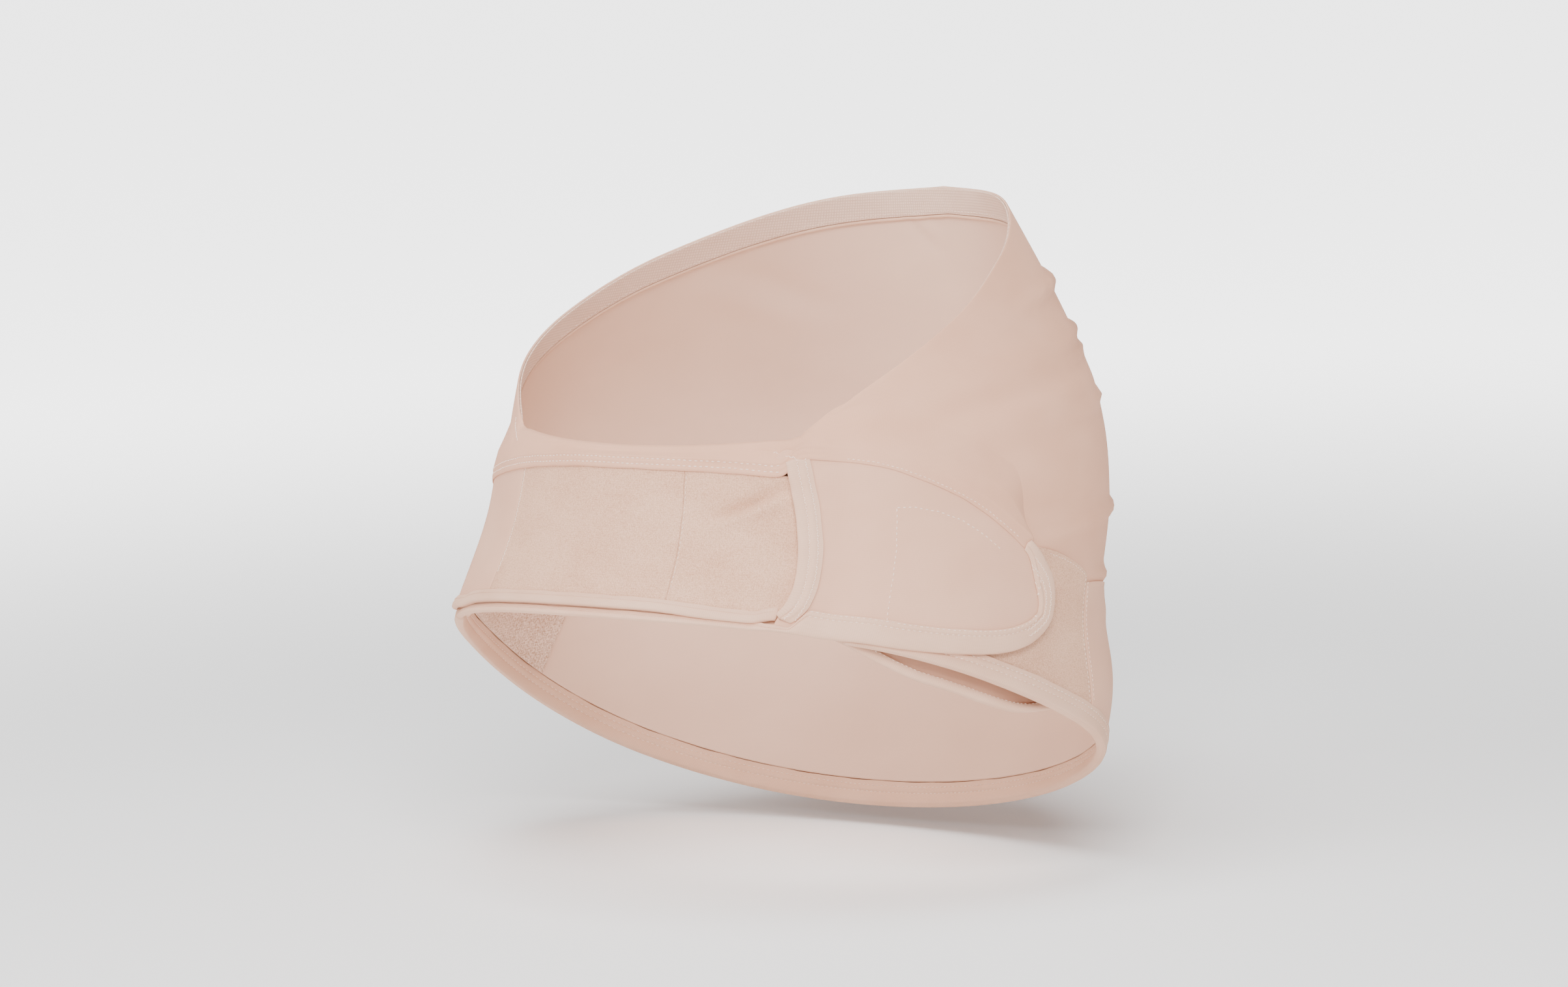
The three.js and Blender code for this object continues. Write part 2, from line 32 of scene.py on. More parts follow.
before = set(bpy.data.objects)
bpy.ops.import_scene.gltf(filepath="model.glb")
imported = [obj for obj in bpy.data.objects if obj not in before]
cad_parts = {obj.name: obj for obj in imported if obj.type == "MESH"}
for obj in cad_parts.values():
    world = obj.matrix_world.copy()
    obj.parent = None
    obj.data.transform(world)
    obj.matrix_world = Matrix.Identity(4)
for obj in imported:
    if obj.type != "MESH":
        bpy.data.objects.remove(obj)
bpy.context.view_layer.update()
print("frame: loaded")

formSizes = {
    "hipHalfWidth": 182, "hipBackReach": 180, "bellyReach": 146, "formHeight": 330, "formFoot": -118,
    "level": [0, 0.18, 0.36, 0.51, 0.66, 0.81, 1],
    "width": [0.955, 0.985, 0.895, 0.855, 0.815, 0.67, 0.445],
    "back": [1, 0.99, 0.89, 0.75, 0.695, 0.725, 0.765],
    "front": [0.40, 0.705, 0.87, 1, 0.995, 0.965, 0.86],
}

rimSizes = {
    "backTop": 95.5, "bellyTop": 195, "cornerRise": 3, "cornerAngle": 36,
    "backFoot": 16.5, "bellyFoot": -112, "sideFullness": 10, "hollowBack": 8,
    "rightHike": 1.8, "frontHike": 5.5, "frontHikeReach": (75, 130),
    "bandTop": 18, "bandDrop": 28, "bandSlope": (97, 168),
    "along": [0, 0.08, 0.17, 0.31, 0.47, 0.72, 1],
    "rise": [0.04, 0.205, 0.345, 0.535, 0.735, 0.945, 1],
}

beltSizes = {
    "height": 78, "tabAngle": 88.3, "tabSeamAngle": 79, "anchorAngle": 50, "slotAngle": 35,
    "slotWidth": 6, "slotLift": 1.2, "loopStart": -28, "loopSeam": 14, "crossingRise": 4,
    "neckRise": 1.4, "neckDrop": 3.2, "neckTop": (26, 32), "neckFoot": (30, 34),
    "dip": 1.6, "dipReach": (10, 24), "hipPatchAngle": 57, "frontSeamAngle": 103,
    "tabAlong": [0, 0.25, 0.43, 0.61, 0.79, 0.9, 0.96, 0.99, 1],
    "tabTop": [1.1, 1.04, 0.92, 0.745, 0.5, 0.345, 0.22, 0.12, 0.05],
    "tabFoot": [0.02, -0.045, -0.11, -0.165, -0.195, -0.17, -0.115, -0.06, -0.015],
    "hemAlong": [0, 0.13, 0.37, 0.51, 0.59, 0.7, 1],
    "hemLow": [0.915, 0.965, 0.97, 0.92, 0.87, 0.78, 0.46],
    "patchAlong": [0, 0.33, 0.59, 0.75, 0.89, 1],
    "patchTop": [0.5, 0.46, 0.39, 0.325, 0.24, 0.16],
}

clothSizes = {
    "jersey": 1.2, "belt": 1.4, "patch": 1.2, "hook": 1.0, "band": 1.4, "binding": 0.8, "layerGap": 0.5,
    "elasticWidth": 14, "bindingWidth": 9.5,
    "slotBindingWidth": 10, "innerRimWidth": 4, "hemTuck": 4.5, "columnStep": 5,
    "steepest": 1.6, "hookInset": 13, "hookTipInset": 4.5, "hookAngle": 53,
    "sagDrop": 5, "sagInward": 8, "sagStart": 40, "sagEnd": 104, "sagFull": (62, 72),
    "sinkFull": (64, 82), "sinkRise": (6, 48), "liftStart": 80, "bindingOverlap": 0.35,
    "backLift": 2.2, "backLiftStart": (-50, -44), "backLiftEnd": (42, 52),
}


def smooth(value, start, end):
    share = np.clip((value - start) / (end - start), 0, 1)
    return share * share * (3 - 2 * share)


def readTable(places, levels, value):
    # a smooth curve through the table's points, as a bent batten would take
    place, level = np.array(places, float), np.array(levels, float)
    last = len(place) - 1
    at = np.clip(value, place[0], place[last])
    row = np.clip(np.searchsorted(place, at, side="left") - 1, 0, last - 1)
    index = np.arange(last + 1)
    before, after = np.maximum(index - 1, 0), np.minimum(index + 1, last)
    slope = (level[after] - level[before]) / (place[after] - place[before])
    span = place[row + 1] - place[row]
    share = (at - place[row]) / span
    ease = share * share * (3 - 2 * share)
    start = share * (1 - share) ** 2 * span * slope[row]
    end = share * share * (share - 1) * span * slope[row + 1]
    return level[row] * (1 - ease) + level[row + 1] * ease + start + end


def bodyPoint(angle, height):
    level = (height - formSizes["formFoot"]) / formSizes["formHeight"]
    width = formSizes["hipHalfWidth"] * readTable(formSizes["level"], formSizes["width"], level)
    back = formSizes["hipBackReach"] * readTable(formSizes["level"], formSizes["back"], level)
    front = formSizes["bellyReach"] * readTable(formSizes["level"], formSizes["front"], level)
    turn = np.radians(angle)
    depth = (front - back) / 2 - (front + back) / 2 * np.cos(turn)
    return np.stack([width * np.sin(turn), depth, height + 0 * turn], axis=-1)


def bodyNormal(angle, height):
    around = bodyPoint(angle + 0.5, height) - bodyPoint(angle - 0.5, height)
    rise = bodyPoint(angle, height + 0.5) - bodyPoint(angle, height - 0.5)
    normal = np.cross(around, rise)
    return normal / np.linalg.norm(normal, axis=-1, keepdims=True)


def perDegree(angle, height):
    # millimetres round the body for one degree
    return np.linalg.norm(bodyPoint(angle + 0.5, height) - bodyPoint(angle - 0.5, height), axis=-1)


def turned(angle):
    return (np.asarray(angle, float) + 180) % 360 - 180


# Soft folds that run through all the layers at once. Each row is a line of (angle, height) points,
# the width of the fold, how far it stands out (or in, if negative) at its middle, and how blunt its
# back is.

folds = [
    ([(98, 148), (118, 152), (136, 153.5), (165, 158)], 2.6, 3.4, 4),
    ([(88, 136), (106, 141), (124, 144)], 7.0, -1.2, 2),
    ([(104, 125), (124, 129), (140, 131), (160, 133)], 2.2, 2.6, 4),
    ([(104, 118.5), (124, 121), (142, 121.5)], 1.8, 1.6, 3),
    ([(58, 104), (80, 110), (104, 116), (128, 118)], 5.5, -1.5, 2),
    ([(60, 97), (82, 102), (106, 108), (128, 109)], 6.5, 1.3, 2),
    ([(98, 96), (122, 98.6), (140, 100), (158, 99)], 2.2, 1.9, 3),
    ([(64, 84), (84, 88), (106, 92), (126, 91)], 5.5, -1.4, 2),
    ([(70, 118), (88, 124), (106, 129), (122, 134)], 6.0, 0.9, 2),
    ([(84, 42), (106, 45), (124, 46), (144, 44)], 2.8, 2.6, 3),
    ([(74, 60), (92, 57), (112, 56)], 4.0, -0.9, 2),
    ([(80, 33), (100, 34), (120, 34)], 5.0, -1.2, 2),
    ([(104, 19), (116, 16), (126, 13.6), (144, 9)], 3.4, 2.4, 3),
    ([(66, 72), (69.5, 70.5), (73, 71.5)], 1.1, -0.6, 2),
    ([(80, 50), (90, 47), (108, 42.5)], 1.6, -0.7, 2),
    ([(110, -4), (124, -2), (138, -4)], 5.0, 0.8, 2),
    ([(195, 181), (191, 173), (186.5, 164), (182, 157)], 1.5, 1.0, 2),
    ([(191.5, 182), (188.6, 173), (185, 167)], 1.3, -0.9, 2),
    ([(187.5, 180), (181, 173)], 1.3, 0.8, 2),
    ([(240, 160), (224, 144), (210, 128)], 7.0, 1.7, 2),
    ([(246, 150), (230, 136), (216, 122)], 8.0, -1.5, 2),
    ([(-43, 101), (-39, 95), (-35, 88)], 1.3, -0.8, 2),
    ([(-40, 103), (-36.5, 97), (-33, 91)], 1.3, 0.8, 2),
    ([(26, 96), (31, 93), (35, 89.5)], 1.1, -0.7, 2),
    ([(29, 92.5), (34, 90.5), (37, 90)], 1.1, 0.6, 2),
    ([(12, 89.5), (22, 88.6), (31, 85.5)], 1.2, -0.7, 2),
    ([(34.5, 77.5), (31.4, 76), (28.5, 72.3), (25, 67.7), (18, 62)], 2.3, -4.0, 2),
    ([(34.5, 73), (30, 69.5), (26, 64.5), (18, 58)], 3.2, 2.4, 2),
    ([(24, 82), (29, 79.5), (33, 80)], 1.6, 1.1, 2),
    ([(8, 80), (16, 76), (24, 77)], 3.0, 0.7, 2),
    ([(34, 24), (30, 21), (24, 19)], 1.4, -0.8, 2),
    ([(96, -24), (114, -30), (134, -36), (156, -44)], 24, 3.4, 2),
]


def drape(angle, height):
    # how far the folds push a point out from the plain form
    angle, height = np.broadcast_arrays(np.asarray(angle, float), np.asarray(height, float))
    total = np.zeros(angle.shape)
    for line, width, rise, blunt in folds:
        line = np.array(line, float)
        middle = line.mean(axis=0)
        scale = float(perDegree(middle[0], middle[1]))
        across = turned(angle - middle[0]) * scale
        up = height - middle[1]
        best = np.full(angle.shape, 1e9)
        share = np.zeros(angle.shape)
        knots = (line - middle) * (scale, 1)
        lengths = np.linalg.norm(np.diff(knots, axis=0), axis=1)
        whole = lengths.sum()
        passed = np.cumsum(lengths) - lengths
        for start, end, before, length in zip(knots, knots[1:], passed, lengths):
            step = (end - start) / length
            along = np.clip((across - start[0]) * step[0] + (up - start[1]) * step[1], 0, length)
            away = np.hypot(across - start[0] - along * step[0], up - start[1] - along * step[1])
            nearer = away < best
            best = np.where(nearer, away, best)
            share = np.where(nearer, (before + along) / whole, share)
        taper = np.sin(np.pi * np.clip(share, 0, 1)) ** 0.8
        total += rise * taper * np.exp(-((best / width) ** blunt))
    return total


def onForm(angle, height, out):
    out = np.asarray(out + drape(angle, height))
    return bodyPoint(angle, height) + bodyNormal(angle, height) * out[..., None]


# Edges of the layers, each a height at an angle

def rimTop(angle):
    away = np.abs(turned(angle))
    hike = rimSizes["backTop"] + rimSizes["rightHike"] * np.sin(np.radians(angle))
    corner = rimSizes["cornerAngle"]
    low = hike + rimSizes["cornerRise"] * (away / corner) ** 2
    rise = readTable(rimSizes["along"], rimSizes["rise"], (away - corner) / (180 - corner))
    return np.where(away <= corner, low, hike + (rimSizes["bellyTop"] - rimSizes["backTop"]) * rise)


def rimFoot(angle):
    middle = (rimSizes["backFoot"] + rimSizes["bellyFoot"]) / 2
    swing = (rimSizes["backFoot"] - rimSizes["bellyFoot"]) / 2
    cos, sin = np.cos(np.radians(angle)), np.sin(np.radians(angle))
    fullness = (rimSizes["sideFullness"] + rimSizes["hollowBack"] * cos) * sin * sin
    before = smooth(np.abs(turned(angle)), *rimSizes["frontHikeReach"])
    hike = rimSizes["rightHike"] + rimSizes["frontHike"] * before
    return middle + swing * cos + fullness + hike * sin


slotFoot = float(rimFoot(beltSizes["slotAngle"] + clothSizes["columnStep"]))
gap = clothSizes["layerGap"]
jerseyWall, beltWall, bindingWall = (clothSizes[cloth] for cloth in ("jersey", "belt", "binding"))
bindingWidth, hemTuck = clothSizes["bindingWidth"], clothSizes["hemTuck"]
innerLane = jerseyWall + gap
outerLane = innerLane + beltWall + gap
hipStack = clothSizes["patch"] + gap + clothSizes["hook"]
bandStack = clothSizes["band"] + gap + bindingWall
hipLane = innerLane + max(hipStack, bandStack) + gap
edgeGap = gap + bindingWall
slotAngle, slotWidth = beltSizes["slotAngle"], beltSizes["slotWidth"]
anchorAngle, tabAngle = beltSizes["anchorAngle"], beltSizes["tabAngle"]
loopSeam, tabSeamAngle = beltSizes["loopSeam"], beltSizes["tabSeamAngle"]
hipPatchAngle, frontSeamAngle = beltSizes["hipPatchAngle"], beltSizes["frontSeamAngle"]


def onBelt(places, levels, along):
    # a height read from one of the belt's tables, in which the slot's foot is 0 and its top 1
    return slotFoot + beltSizes["height"] * readTable(beltSizes[places], beltSizes[levels], along)


def blended(first, second, share):
    return first * (1 - share) + second * share


def tabEdge(angle, key):
    along = (np.abs(angle) - slotAngle) / (tabAngle - slotAngle)
    return onBelt("tabAlong", key, along)


def inFrom(edge, angle, distance):
    slope = (edge(angle + 0.5) - edge(angle - 0.5)) / perDegree(angle, edge(angle))
    return edge(angle) + distance * np.minimum(np.hypot(1, slope), clothSizes["steepest"])


def beltEdge(away, backEdge):
    blend = smooth(away, slotAngle, anchorAngle)
    return blended(backEdge, tabEdge(away, "tabFoot"), blend)


def rightBeltEdge(angle):
    return beltEdge(angle, rimFoot(angle))


def rightBeltFoot(angle):
    return inFrom(rightBeltEdge, angle, edgeGap)


def hemLow(angle):
    # at the back and over the left tab; hemLine goes on to the right tab
    along = (slotAngle - angle) / (slotAngle + tabSeamAngle)
    return onBelt("hemAlong", "hemLow", along)


def rightBeltTop(angle):
    outside = smooth(angle, slotAngle - slotWidth, slotAngle)
    back = hemLow(np.minimum(angle, slotAngle)) + hemTuck
    return blended(back, tabEdge(np.maximum(angle, slotAngle), "tabTop"), outside)


def leftBeltTop(angle):
    tip = smooth(-angle, tabSeamAngle - 6, tabSeamAngle + 3)
    neck = smooth(angle, *beltSizes["neckTop"])
    back = hemLow(angle) + hemTuck
    return blended(back, tabEdge(angle, "tabTop"), tip) - beltSizes["neckDrop"] * neck


def leftBeltEdge(angle):
    neck = smooth(angle, *beltSizes["neckFoot"])
    dip = beltSizes["dip"] * smooth(angle, *beltSizes["dipReach"]) * (1 - neck)
    edge = beltEdge(-angle, rimFoot(angle) + beltSizes["crossingRise"])
    return edge + beltSizes["neckRise"] * neck - dip


def leftBeltFoot(angle):
    return inFrom(leftBeltEdge, angle, edgeGap)


def rimFootIn(angle):
    return inFrom(rimFoot, angle, edgeGap)


def hipPatchTop(angle):
    along = (np.abs(turned(angle)) - hipPatchAngle) / (frontSeamAngle - hipPatchAngle)
    return onBelt("patchAlong", "patchTop", along)


def frontTop(angle):
    sunk = smooth(np.abs(turned(angle)), *rimSizes["bandSlope"])
    return rimSizes["bandTop"] - rimSizes["bandDrop"] * sunk


def sagShare(angle):
    # how much of the jersey's lower edge hangs free, inside the right hip
    start, end = clothSizes["sagStart"] + 3, clothSizes["sagEnd"]
    full, last = clothSizes["sagFull"]
    return smooth(turned(angle), start, full) * (1 - smooth(turned(angle), last, end))


def jerseyFoot(angle):
    # at the sides it ends above the lower rim's binding, and at the back just inside the belts
    right = smooth(turned(angle), clothSizes["liftStart"], clothSizes["sagEnd"])
    left = smooth(-turned(angle), hipPatchAngle - 8, hipPatchAngle - 2)
    lifted = np.maximum(right, left) * (bindingWidth - clothSizes["bindingOverlap"])
    drop = (clothSizes["sagDrop"] + edgeGap) * sagShare(angle)
    behind = 1 - smooth(turned(angle), *clothSizes["backLiftEnd"])
    hidden = clothSizes["backLift"] * behind * smooth(turned(angle), *clothSizes["backLiftStart"])
    return inFrom(rimFoot, angle, edgeGap + lifted) - drop + hidden


def jerseySink(angle, height):
    # how far the free edge falls inward
    start, end = clothSizes["sagStart"], clothSizes["sagEnd"] + 4
    full, last = clothSizes["sinkFull"]
    low, high = (jerseyFoot(angle) + rise for rise in clothSizes["sinkRise"])
    around = smooth(turned(angle), start, full) * (1 - smooth(turned(angle), last, end))
    return clothSizes["sagInward"] * around * (1 - smooth(height, low, high))


def rightBeltInside(angle, height=None):
    crossed = smooth(angle, slotAngle - slotWidth, slotAngle)
    edge = beltSizes["slotLift"] * crossed * (1 - smooth(angle, slotAngle + 3, slotAngle + 9))
    hip = smooth(angle, anchorAngle - 8, anchorAngle)
    return innerLane + (outerLane - innerLane) * crossed + (hipLane - outerLane) * hip + edge


def leftBeltInside(angle, height=None):
    crossed = 1 - smooth(angle, slotAngle - slotWidth, slotAngle + 3)
    hip = smooth(-angle, anchorAngle - 8, anchorAngle)
    return innerLane + (outerLane - innerLane) * crossed + (hipLane - outerLane) * hip


# Materials

def linear(hexColour):
    # an sRGB hex colour as the linear values that the shader takes
    parts = [int(hexColour[place:place + 2], 16) / 255 for place in (1, 3, 5)]
    return [c / 12.92 if c <= 0.04045 else ((c + 0.055) / 1.055) ** 2.4 for c in parts] + [1]


def fill(tree, node, inputs):
    # each input takes a value, a socket or the first output of another node
    for key, value in inputs.items():
        if isinstance(value, bpy.types.Node):
            value = value.outputs[0]
        if isinstance(value, bpy.types.NodeSocket):
            tree.links.new(value, node.inputs[key])
        else:
            node.inputs[key].default_value = value
    return node


def addNode(tree, kind, inputs=(), **settings):
    node = tree.nodes.new(kind)
    for key, value in settings.items():
        setattr(node, key, value)
    return fill(tree, node, dict(inputs))


def addMath(tree, operation, *values):
    return addNode(tree, "ShaderNodeMath", enumerate(values), operation=operation)


def ramp(node, stops):
    while len(node.color_ramp.elements) < len(stops):
        node.color_ramp.elements.new(0.5)
    for element, (place, colour) in zip(node.color_ramp.elements, stops):
        element.position = place
        element.color = linear(colour)
    return node


def startMaterial(name):
    material = bpy.data.materials.new(name)
    material.use_nodes = True
    tree = material.node_tree
    tree.nodes.clear()
    shader = addNode(tree, "ShaderNodeBsdfPrincipled")
    addNode(tree, "ShaderNodeOutputMaterial", {"Surface": shader})
    return material, tree, shader


# Every fabric here is nylon with spandex in one skin tone. They differ in how they are knitted,
# which gives the eye their grain and how soft their light is. Thread and grain sizes are
# millimetres, and each share says how much of the light-to-dark range that pattern takes. The
# painted inner light is a paler colour, mixed by its share into the cloth's inner face as painted light.

fabrics = {
    # plain weft jersey, smooth face out: even and matt, with hardly any grain and soft blushes
    "weftJersey": {"light": "#E2AF93", "dark": "#D29C80", "paintedInnerLight": "#F7E6D3", "paintedInnerLightShare": 0.33,
                   "across": 0.8, "along": 0.65, "knitShare": 0.16, "relief": 0.03, "pileSize": 0.5,
                   "pileShare": 0.05, "pileHeight": 0.0, "blushSize": 52, "blushShare": 0.65,
                   "roughness": 0.85, "sheen": 0.1},
    # warp-knitted power net, pressed smooth: a little tighter and brighter than the jersey
    "powerKnit": {"light": "#E2B297", "dark": "#D5A287", "across": 0.7, "along": 0.9, "knitShare": 0.16,
                  "relief": 0.025, "pileSize": 0.5, "pileShare": 0.05, "pileHeight": 0.0,
                  "blushSize": 52, "blushShare": 0.8, "roughness": 0.8, "sheen": 0.1},
    # brushed loop fabric for hooks to hold: a fine fleecy grain with pale specks, partly the loop tops' own
    # tone and partly painted glints
    "loopPile": {"light": "#E8BC9F", "dark": "#C49073", "across": 1.1, "along": 1.1, "knitShare": 0.1,
                 "relief": 0.03, "pileSize": 0.62, "pileShare": 1.5, "pileHeight": 0.34,
                 "blushSize": 30, "blushShare": 0.35, "roughness": 0.95, "sheen": 0.25},
    # the same fabric with its raw face out: coarser, its pale loop tops partly their own tone and partly
    # painted glints
    "rawPile": {"light": "#F0D2BD", "dark": "#B98D74", "across": 1.4, "along": 1.4, "knitShare": 0.15,
                "relief": 0.05, "pileSize": 1.0, "pileShare": 2.0, "pileHeight": 0.5,
                "blushSize": 24, "blushShare": 0.3, "roughness": 0.8, "sheen": 0.3},
    # moulded hook strip: stiff little hooks in rows
    "hookStrip": {"light": "#CFAB95", "dark": "#B58F79", "across": 1.5, "along": 1.5, "knitShare": 0.8,
                  "relief": 0.25, "pileSize": 0.8, "pileShare": 0.5, "pileHeight": 0.1,
                  "blushSize": 20, "blushShare": 0.2, "roughness": 0.6, "sheen": 0.05},
    # folded stretch binding: fine ribs run across it
    "foldedBinding": {"light": "#E4BBA1", "dark": "#D5A78C", "across": 1.0, "along": 0.6, "knitShare": 0.25,
                      "relief": 0.05, "pileSize": 0.7, "pileShare": 0.15, "pileHeight": 0.03,
                      "blushSize": 28, "blushShare": 0.6, "roughness": 0.8, "sheen": 0.12},
    # knitted rib elastic: its cords of rubber show as a slanting rib
    "ribElastic": {"light": "#ECCEBB", "dark": "#D2AC95", "across": 1.5, "along": 1.5, "knitShare": 0.7,
                   "relief": 0.14, "pileSize": 0.8, "pileShare": 0.4, "pileHeight": 0.05,
                   "blushSize": 20, "blushShare": 0.3, "roughness": 0.9, "sheen": 0.15},
}


def knitMaterial(name, look):
    material, tree, shader = startMaterial(name)
    uv = addNode(tree, "ShaderNodeUVMap", uv_map="cloth")
    place = addNode(tree, "ShaderNodeTexCoord").outputs["Object"]

    def noise(vector, size, detail, roughness):
        return addNode(tree, "ShaderNodeTexNoise", {"Scale": 1000 / size, "Detail": detail,
                       "Roughness": roughness, "Vector": vector})

    def bump(height, strength, depth, under=()):
        return addNode(tree, "ShaderNodeBump", {"Strength": strength, "Distance": depth / 1000,
                       "Height": height, **dict(under)})

    # the cloth's own map is in metres; a band texture of scale 1 repeats every 0.314
    bands = [addNode(tree, "ShaderNodeTexWave", {"Scale": 314 / look[way], "Distortion": 1.2,
                     "Detail": 1.0, "Detail Scale": 1.4, "Vector": uv}, wave_type="BANDS",
                     bands_direction=axis).outputs["Fac"] for way, axis in (("across", "X"), ("along", "Y"))]
    knit = addMath(tree, "MULTIPLY", *bands)
    pile = noise(place, look["pileSize"], 3.0, 0.65)
    flat = addNode(tree, "ShaderNodeMapping", {"Scale": (1, 1, 1.9), "Vector": place})
    blush = noise(flat, look["blushSize"], 2.0, 0.5)
    shares = look["blushShare"], look["pileShare"], look["knitShare"]
    rest = 0.5 - 0.5 * shares[0] - 0.5 * shares[1] - 0.25 * shares[2]
    tone = addMath(tree, "MULTIPLY_ADD", blush, shares[0], rest)
    grain = addMath(tree, "MULTIPLY_ADD", pile, shares[1], tone)
    threads = addMath(tree, "MULTIPLY_ADD", knit, shares[2], grain)
    colour = ramp(addNode(tree, "ShaderNodeValToRGB", {"Fac": threads}),
                  [(0.2, look["dark"]), (0.8, look["light"])])
    # painted light: the cloth's inner face is mixed towards a paler colour, standing in for light that falls
    # inside the belt
    back = addNode(tree, "ShaderNodeAttribute", attribute_name="paintedInnerLight").outputs["Fac"]
    share = addMath(tree, "MULTIPLY", back, look.get("paintedInnerLightShare", 0))
    paintedInnerLight = linear(look.get("paintedInnerLight", look["light"]))
    both = addNode(tree, "ShaderNodeMix", {0: share, 6: colour, 7: paintedInnerLight}, data_type="RGBA")
    relief = bump(knit, 0.55, look["relief"])
    if look["pileHeight"] > 0:
        relief = bump(pile, 0.7, look["pileHeight"], {"Normal": relief})
    fill(tree, shader, {
        "Base Color": both.outputs[2], "Normal": relief, "Roughness": look["roughness"],
        "Sheen Weight": look["sheen"], "Sheen Roughness": 0.5, "Sheen Tint": linear(look["light"]),
        "IOR": 1.5, "Specular IOR Level": 0.2})
    return material


def threadMaterial():
    # textured nylon thread, drawn a shade lighter than the cloth as a painted highlight on the raised thread,
    # so the rows read as fine dots
    material, tree, shader = startMaterial("texturedThread")
    place = addNode(tree, "ShaderNodeTexCoord").outputs["Object"]
    twist = addNode(tree, "ShaderNodeTexNoise", {"Scale": 900.0, "Detail": 1.0, "Vector": place})
    colour = ramp(addNode(tree, "ShaderNodeValToRGB", {"Fac": twist}), [(0.3, "#E8C4AD"), (0.7, "#F6DCCA")])
    fill(tree, shader, {"Base Color": colour, "Roughness": 0.55, "Sheen Weight": 0.2})
    return material


materials = {name: knitMaterial(name, look) for name, look in fabrics.items()}
materials["texturedThread"] = threadMaterial()
print("materials: made", len(materials))


# Meshes

def addObject(name, data):
    made = bpy.data.objects.new(name, data)
    bpy.context.scene.collection.objects.link(made)
    return made


def mergePoints(mesh, distance, outward=False):
    shape = bmesh.new()
    shape.from_mesh(mesh)
    bmesh.ops.remove_doubles(shape, verts=shape.verts, dist=distance)
    if outward:
        bmesh.ops.recalc_face_normals(shape, faces=shape.faces)
    shape.to_mesh(mesh)
    shape.free()


def addPiece(settings, points, faces, maps, paintedInnerLight=None):
    mesh = bpy.data.meshes.new(settings["name"])
    mesh.from_pydata((points / 1000).tolist(), [], faces.tolist())
    layer = mesh.uv_layers.new(name="cloth")
    corners = np.array([loop.vertex_index for loop in mesh.loops])
    layer.data.foreach_set("uv", (maps[corners] / 1000).ravel())
    # a mask of the inner face, where the painted inner light is mixed in
    if paintedInnerLight is not None:
        mesh.attributes.new("paintedInnerLight", "FLOAT", "POINT").data.foreach_set("value", paintedInnerLight.astype(float))
    mergePoints(mesh, 1e-7)
    mesh.shade_smooth()
    mesh.materials.append(materials[settings["material"]])
    piece = addObject(settings["name"], mesh)
    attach(piece, "root")
    if settings["nodes"]:
        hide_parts(*settings["nodes"])
    return piece


def edgeSteps(length, spacing, edge):
    # places along a length: fine steps over the round edge at each end, even steps between
    fine = np.array([0, 0.1, 0.3, 0.62, 1.0]) * edge
    count = max(int(round((length - 2 * fine[-1]) / spacing)), 1)
    middle = np.linspace(fine[-1], length - fine[-1], count + 1)
    return np.concatenate([fine[:-1], middle, length - fine[:-1][::-1]])


def clothSheet(settings, start, end, low, high, inside, warp=None, opening=None):
    # opening is a hole, from angle to angle and from share to share of the height
    wall = settings["wall"]
    edge = wall * settings.get("roundness", 0.6)
    closed = end - start >= 360
    middleAngles = np.linspace(start, end, 73)
    middleHeights = (low(middleAngles) + high(middleAngles)) / 2
    reach = float(perDegree(middleAngles, middleHeights)[:-1].mean() * (end - start))
    tall = float((high(middleAngles) - low(middleAngles)).mean())
    across = edgeSteps(reach, settings["column"], edge)
    if closed:
        across = np.linspace(0, reach, int(reach / settings["column"]) + 1)
    up = edgeSteps(tall, settings["row"], edge)
    if opening:
        beside = np.array([-1.2, -0.6, -0.25, 0, 0.25, 0.6, 1.2])
        sides = [(side - start) / (end - start) * reach + beside for side in opening[0]]
        across = np.unique(np.concatenate([across, *sides]))
        up = np.unique(np.concatenate([up, *[side * tall + beside for side in opening[1]]]))
    angles = start + (end - start) * across / reach
    shares = up / tall
    turn = np.repeat(angles[:, None], len(shares), axis=1)
    span = (high(angles) - low(angles))[:, None]
    height = low(angles)[:, None] + span * shares[None, :]
    scale = perDegree(turn, height)
    away = np.minimum(shares[None, :] * span, (1 - shares[None, :]) * span)
    if not closed:
        away = np.minimum(away, np.minimum(turn - start, end - turn) * scale)
    cells = np.ones((len(angles) - 1, len(shares) - 1), bool)
    if opening:
        (left, right), (under, over) = opening
        outside = np.maximum(np.maximum(left - turn, turn - right) * scale,
                             np.maximum(under - shares[None, :], shares[None, :] - over) * span)
        away = np.minimum(away, np.maximum(outside, 0))
        columnMiddle = (angles[1:] + angles[:-1]) / 2
        rowMiddle = (shares[1:] + shares[:-1]) / 2
        cells = ~(((columnMiddle > left) & (columnMiddle < right))[:, None]
                  & ((rowMiddle > under) & (rowMiddle < over))[None, :])
    bevel = np.clip(away / edge, 0, 1)
    half = wall / 2 * np.sqrt(1 - (1 - bevel) ** 2)
    out = inside(turn, height) + wall / 2
    if warp:
        turn = turn + warp(turn, height)
    outer, inner = onForm(turn, height, out + half), onForm(turn, height, out - half)
    maps = np.stack([turn * np.mean(scale), height * 1.05], axis=-1)
    columns, rows = turn.shape
    number = np.arange(columns * rows).reshape(columns, rows)
    quads = np.stack([number[:-1, :-1], number[1:, :-1], number[1:, 1:], number[:-1, 1:]], axis=-1)
    quads = quads[cells]
    faces = np.concatenate([quads, quads[:, ::-1] + columns * rows])
    points = np.concatenate([outer.reshape(-1, 3), inner.reshape(-1, 3)])
    used = np.unique(faces)
    renumber = np.zeros(len(points), int)
    renumber[used] = np.arange(len(used))
    maps = np.concatenate([maps.reshape(-1, 2)] * 2)
    return addPiece(settings, points[used], renumber[faces], maps[used], used >= columns * rows)


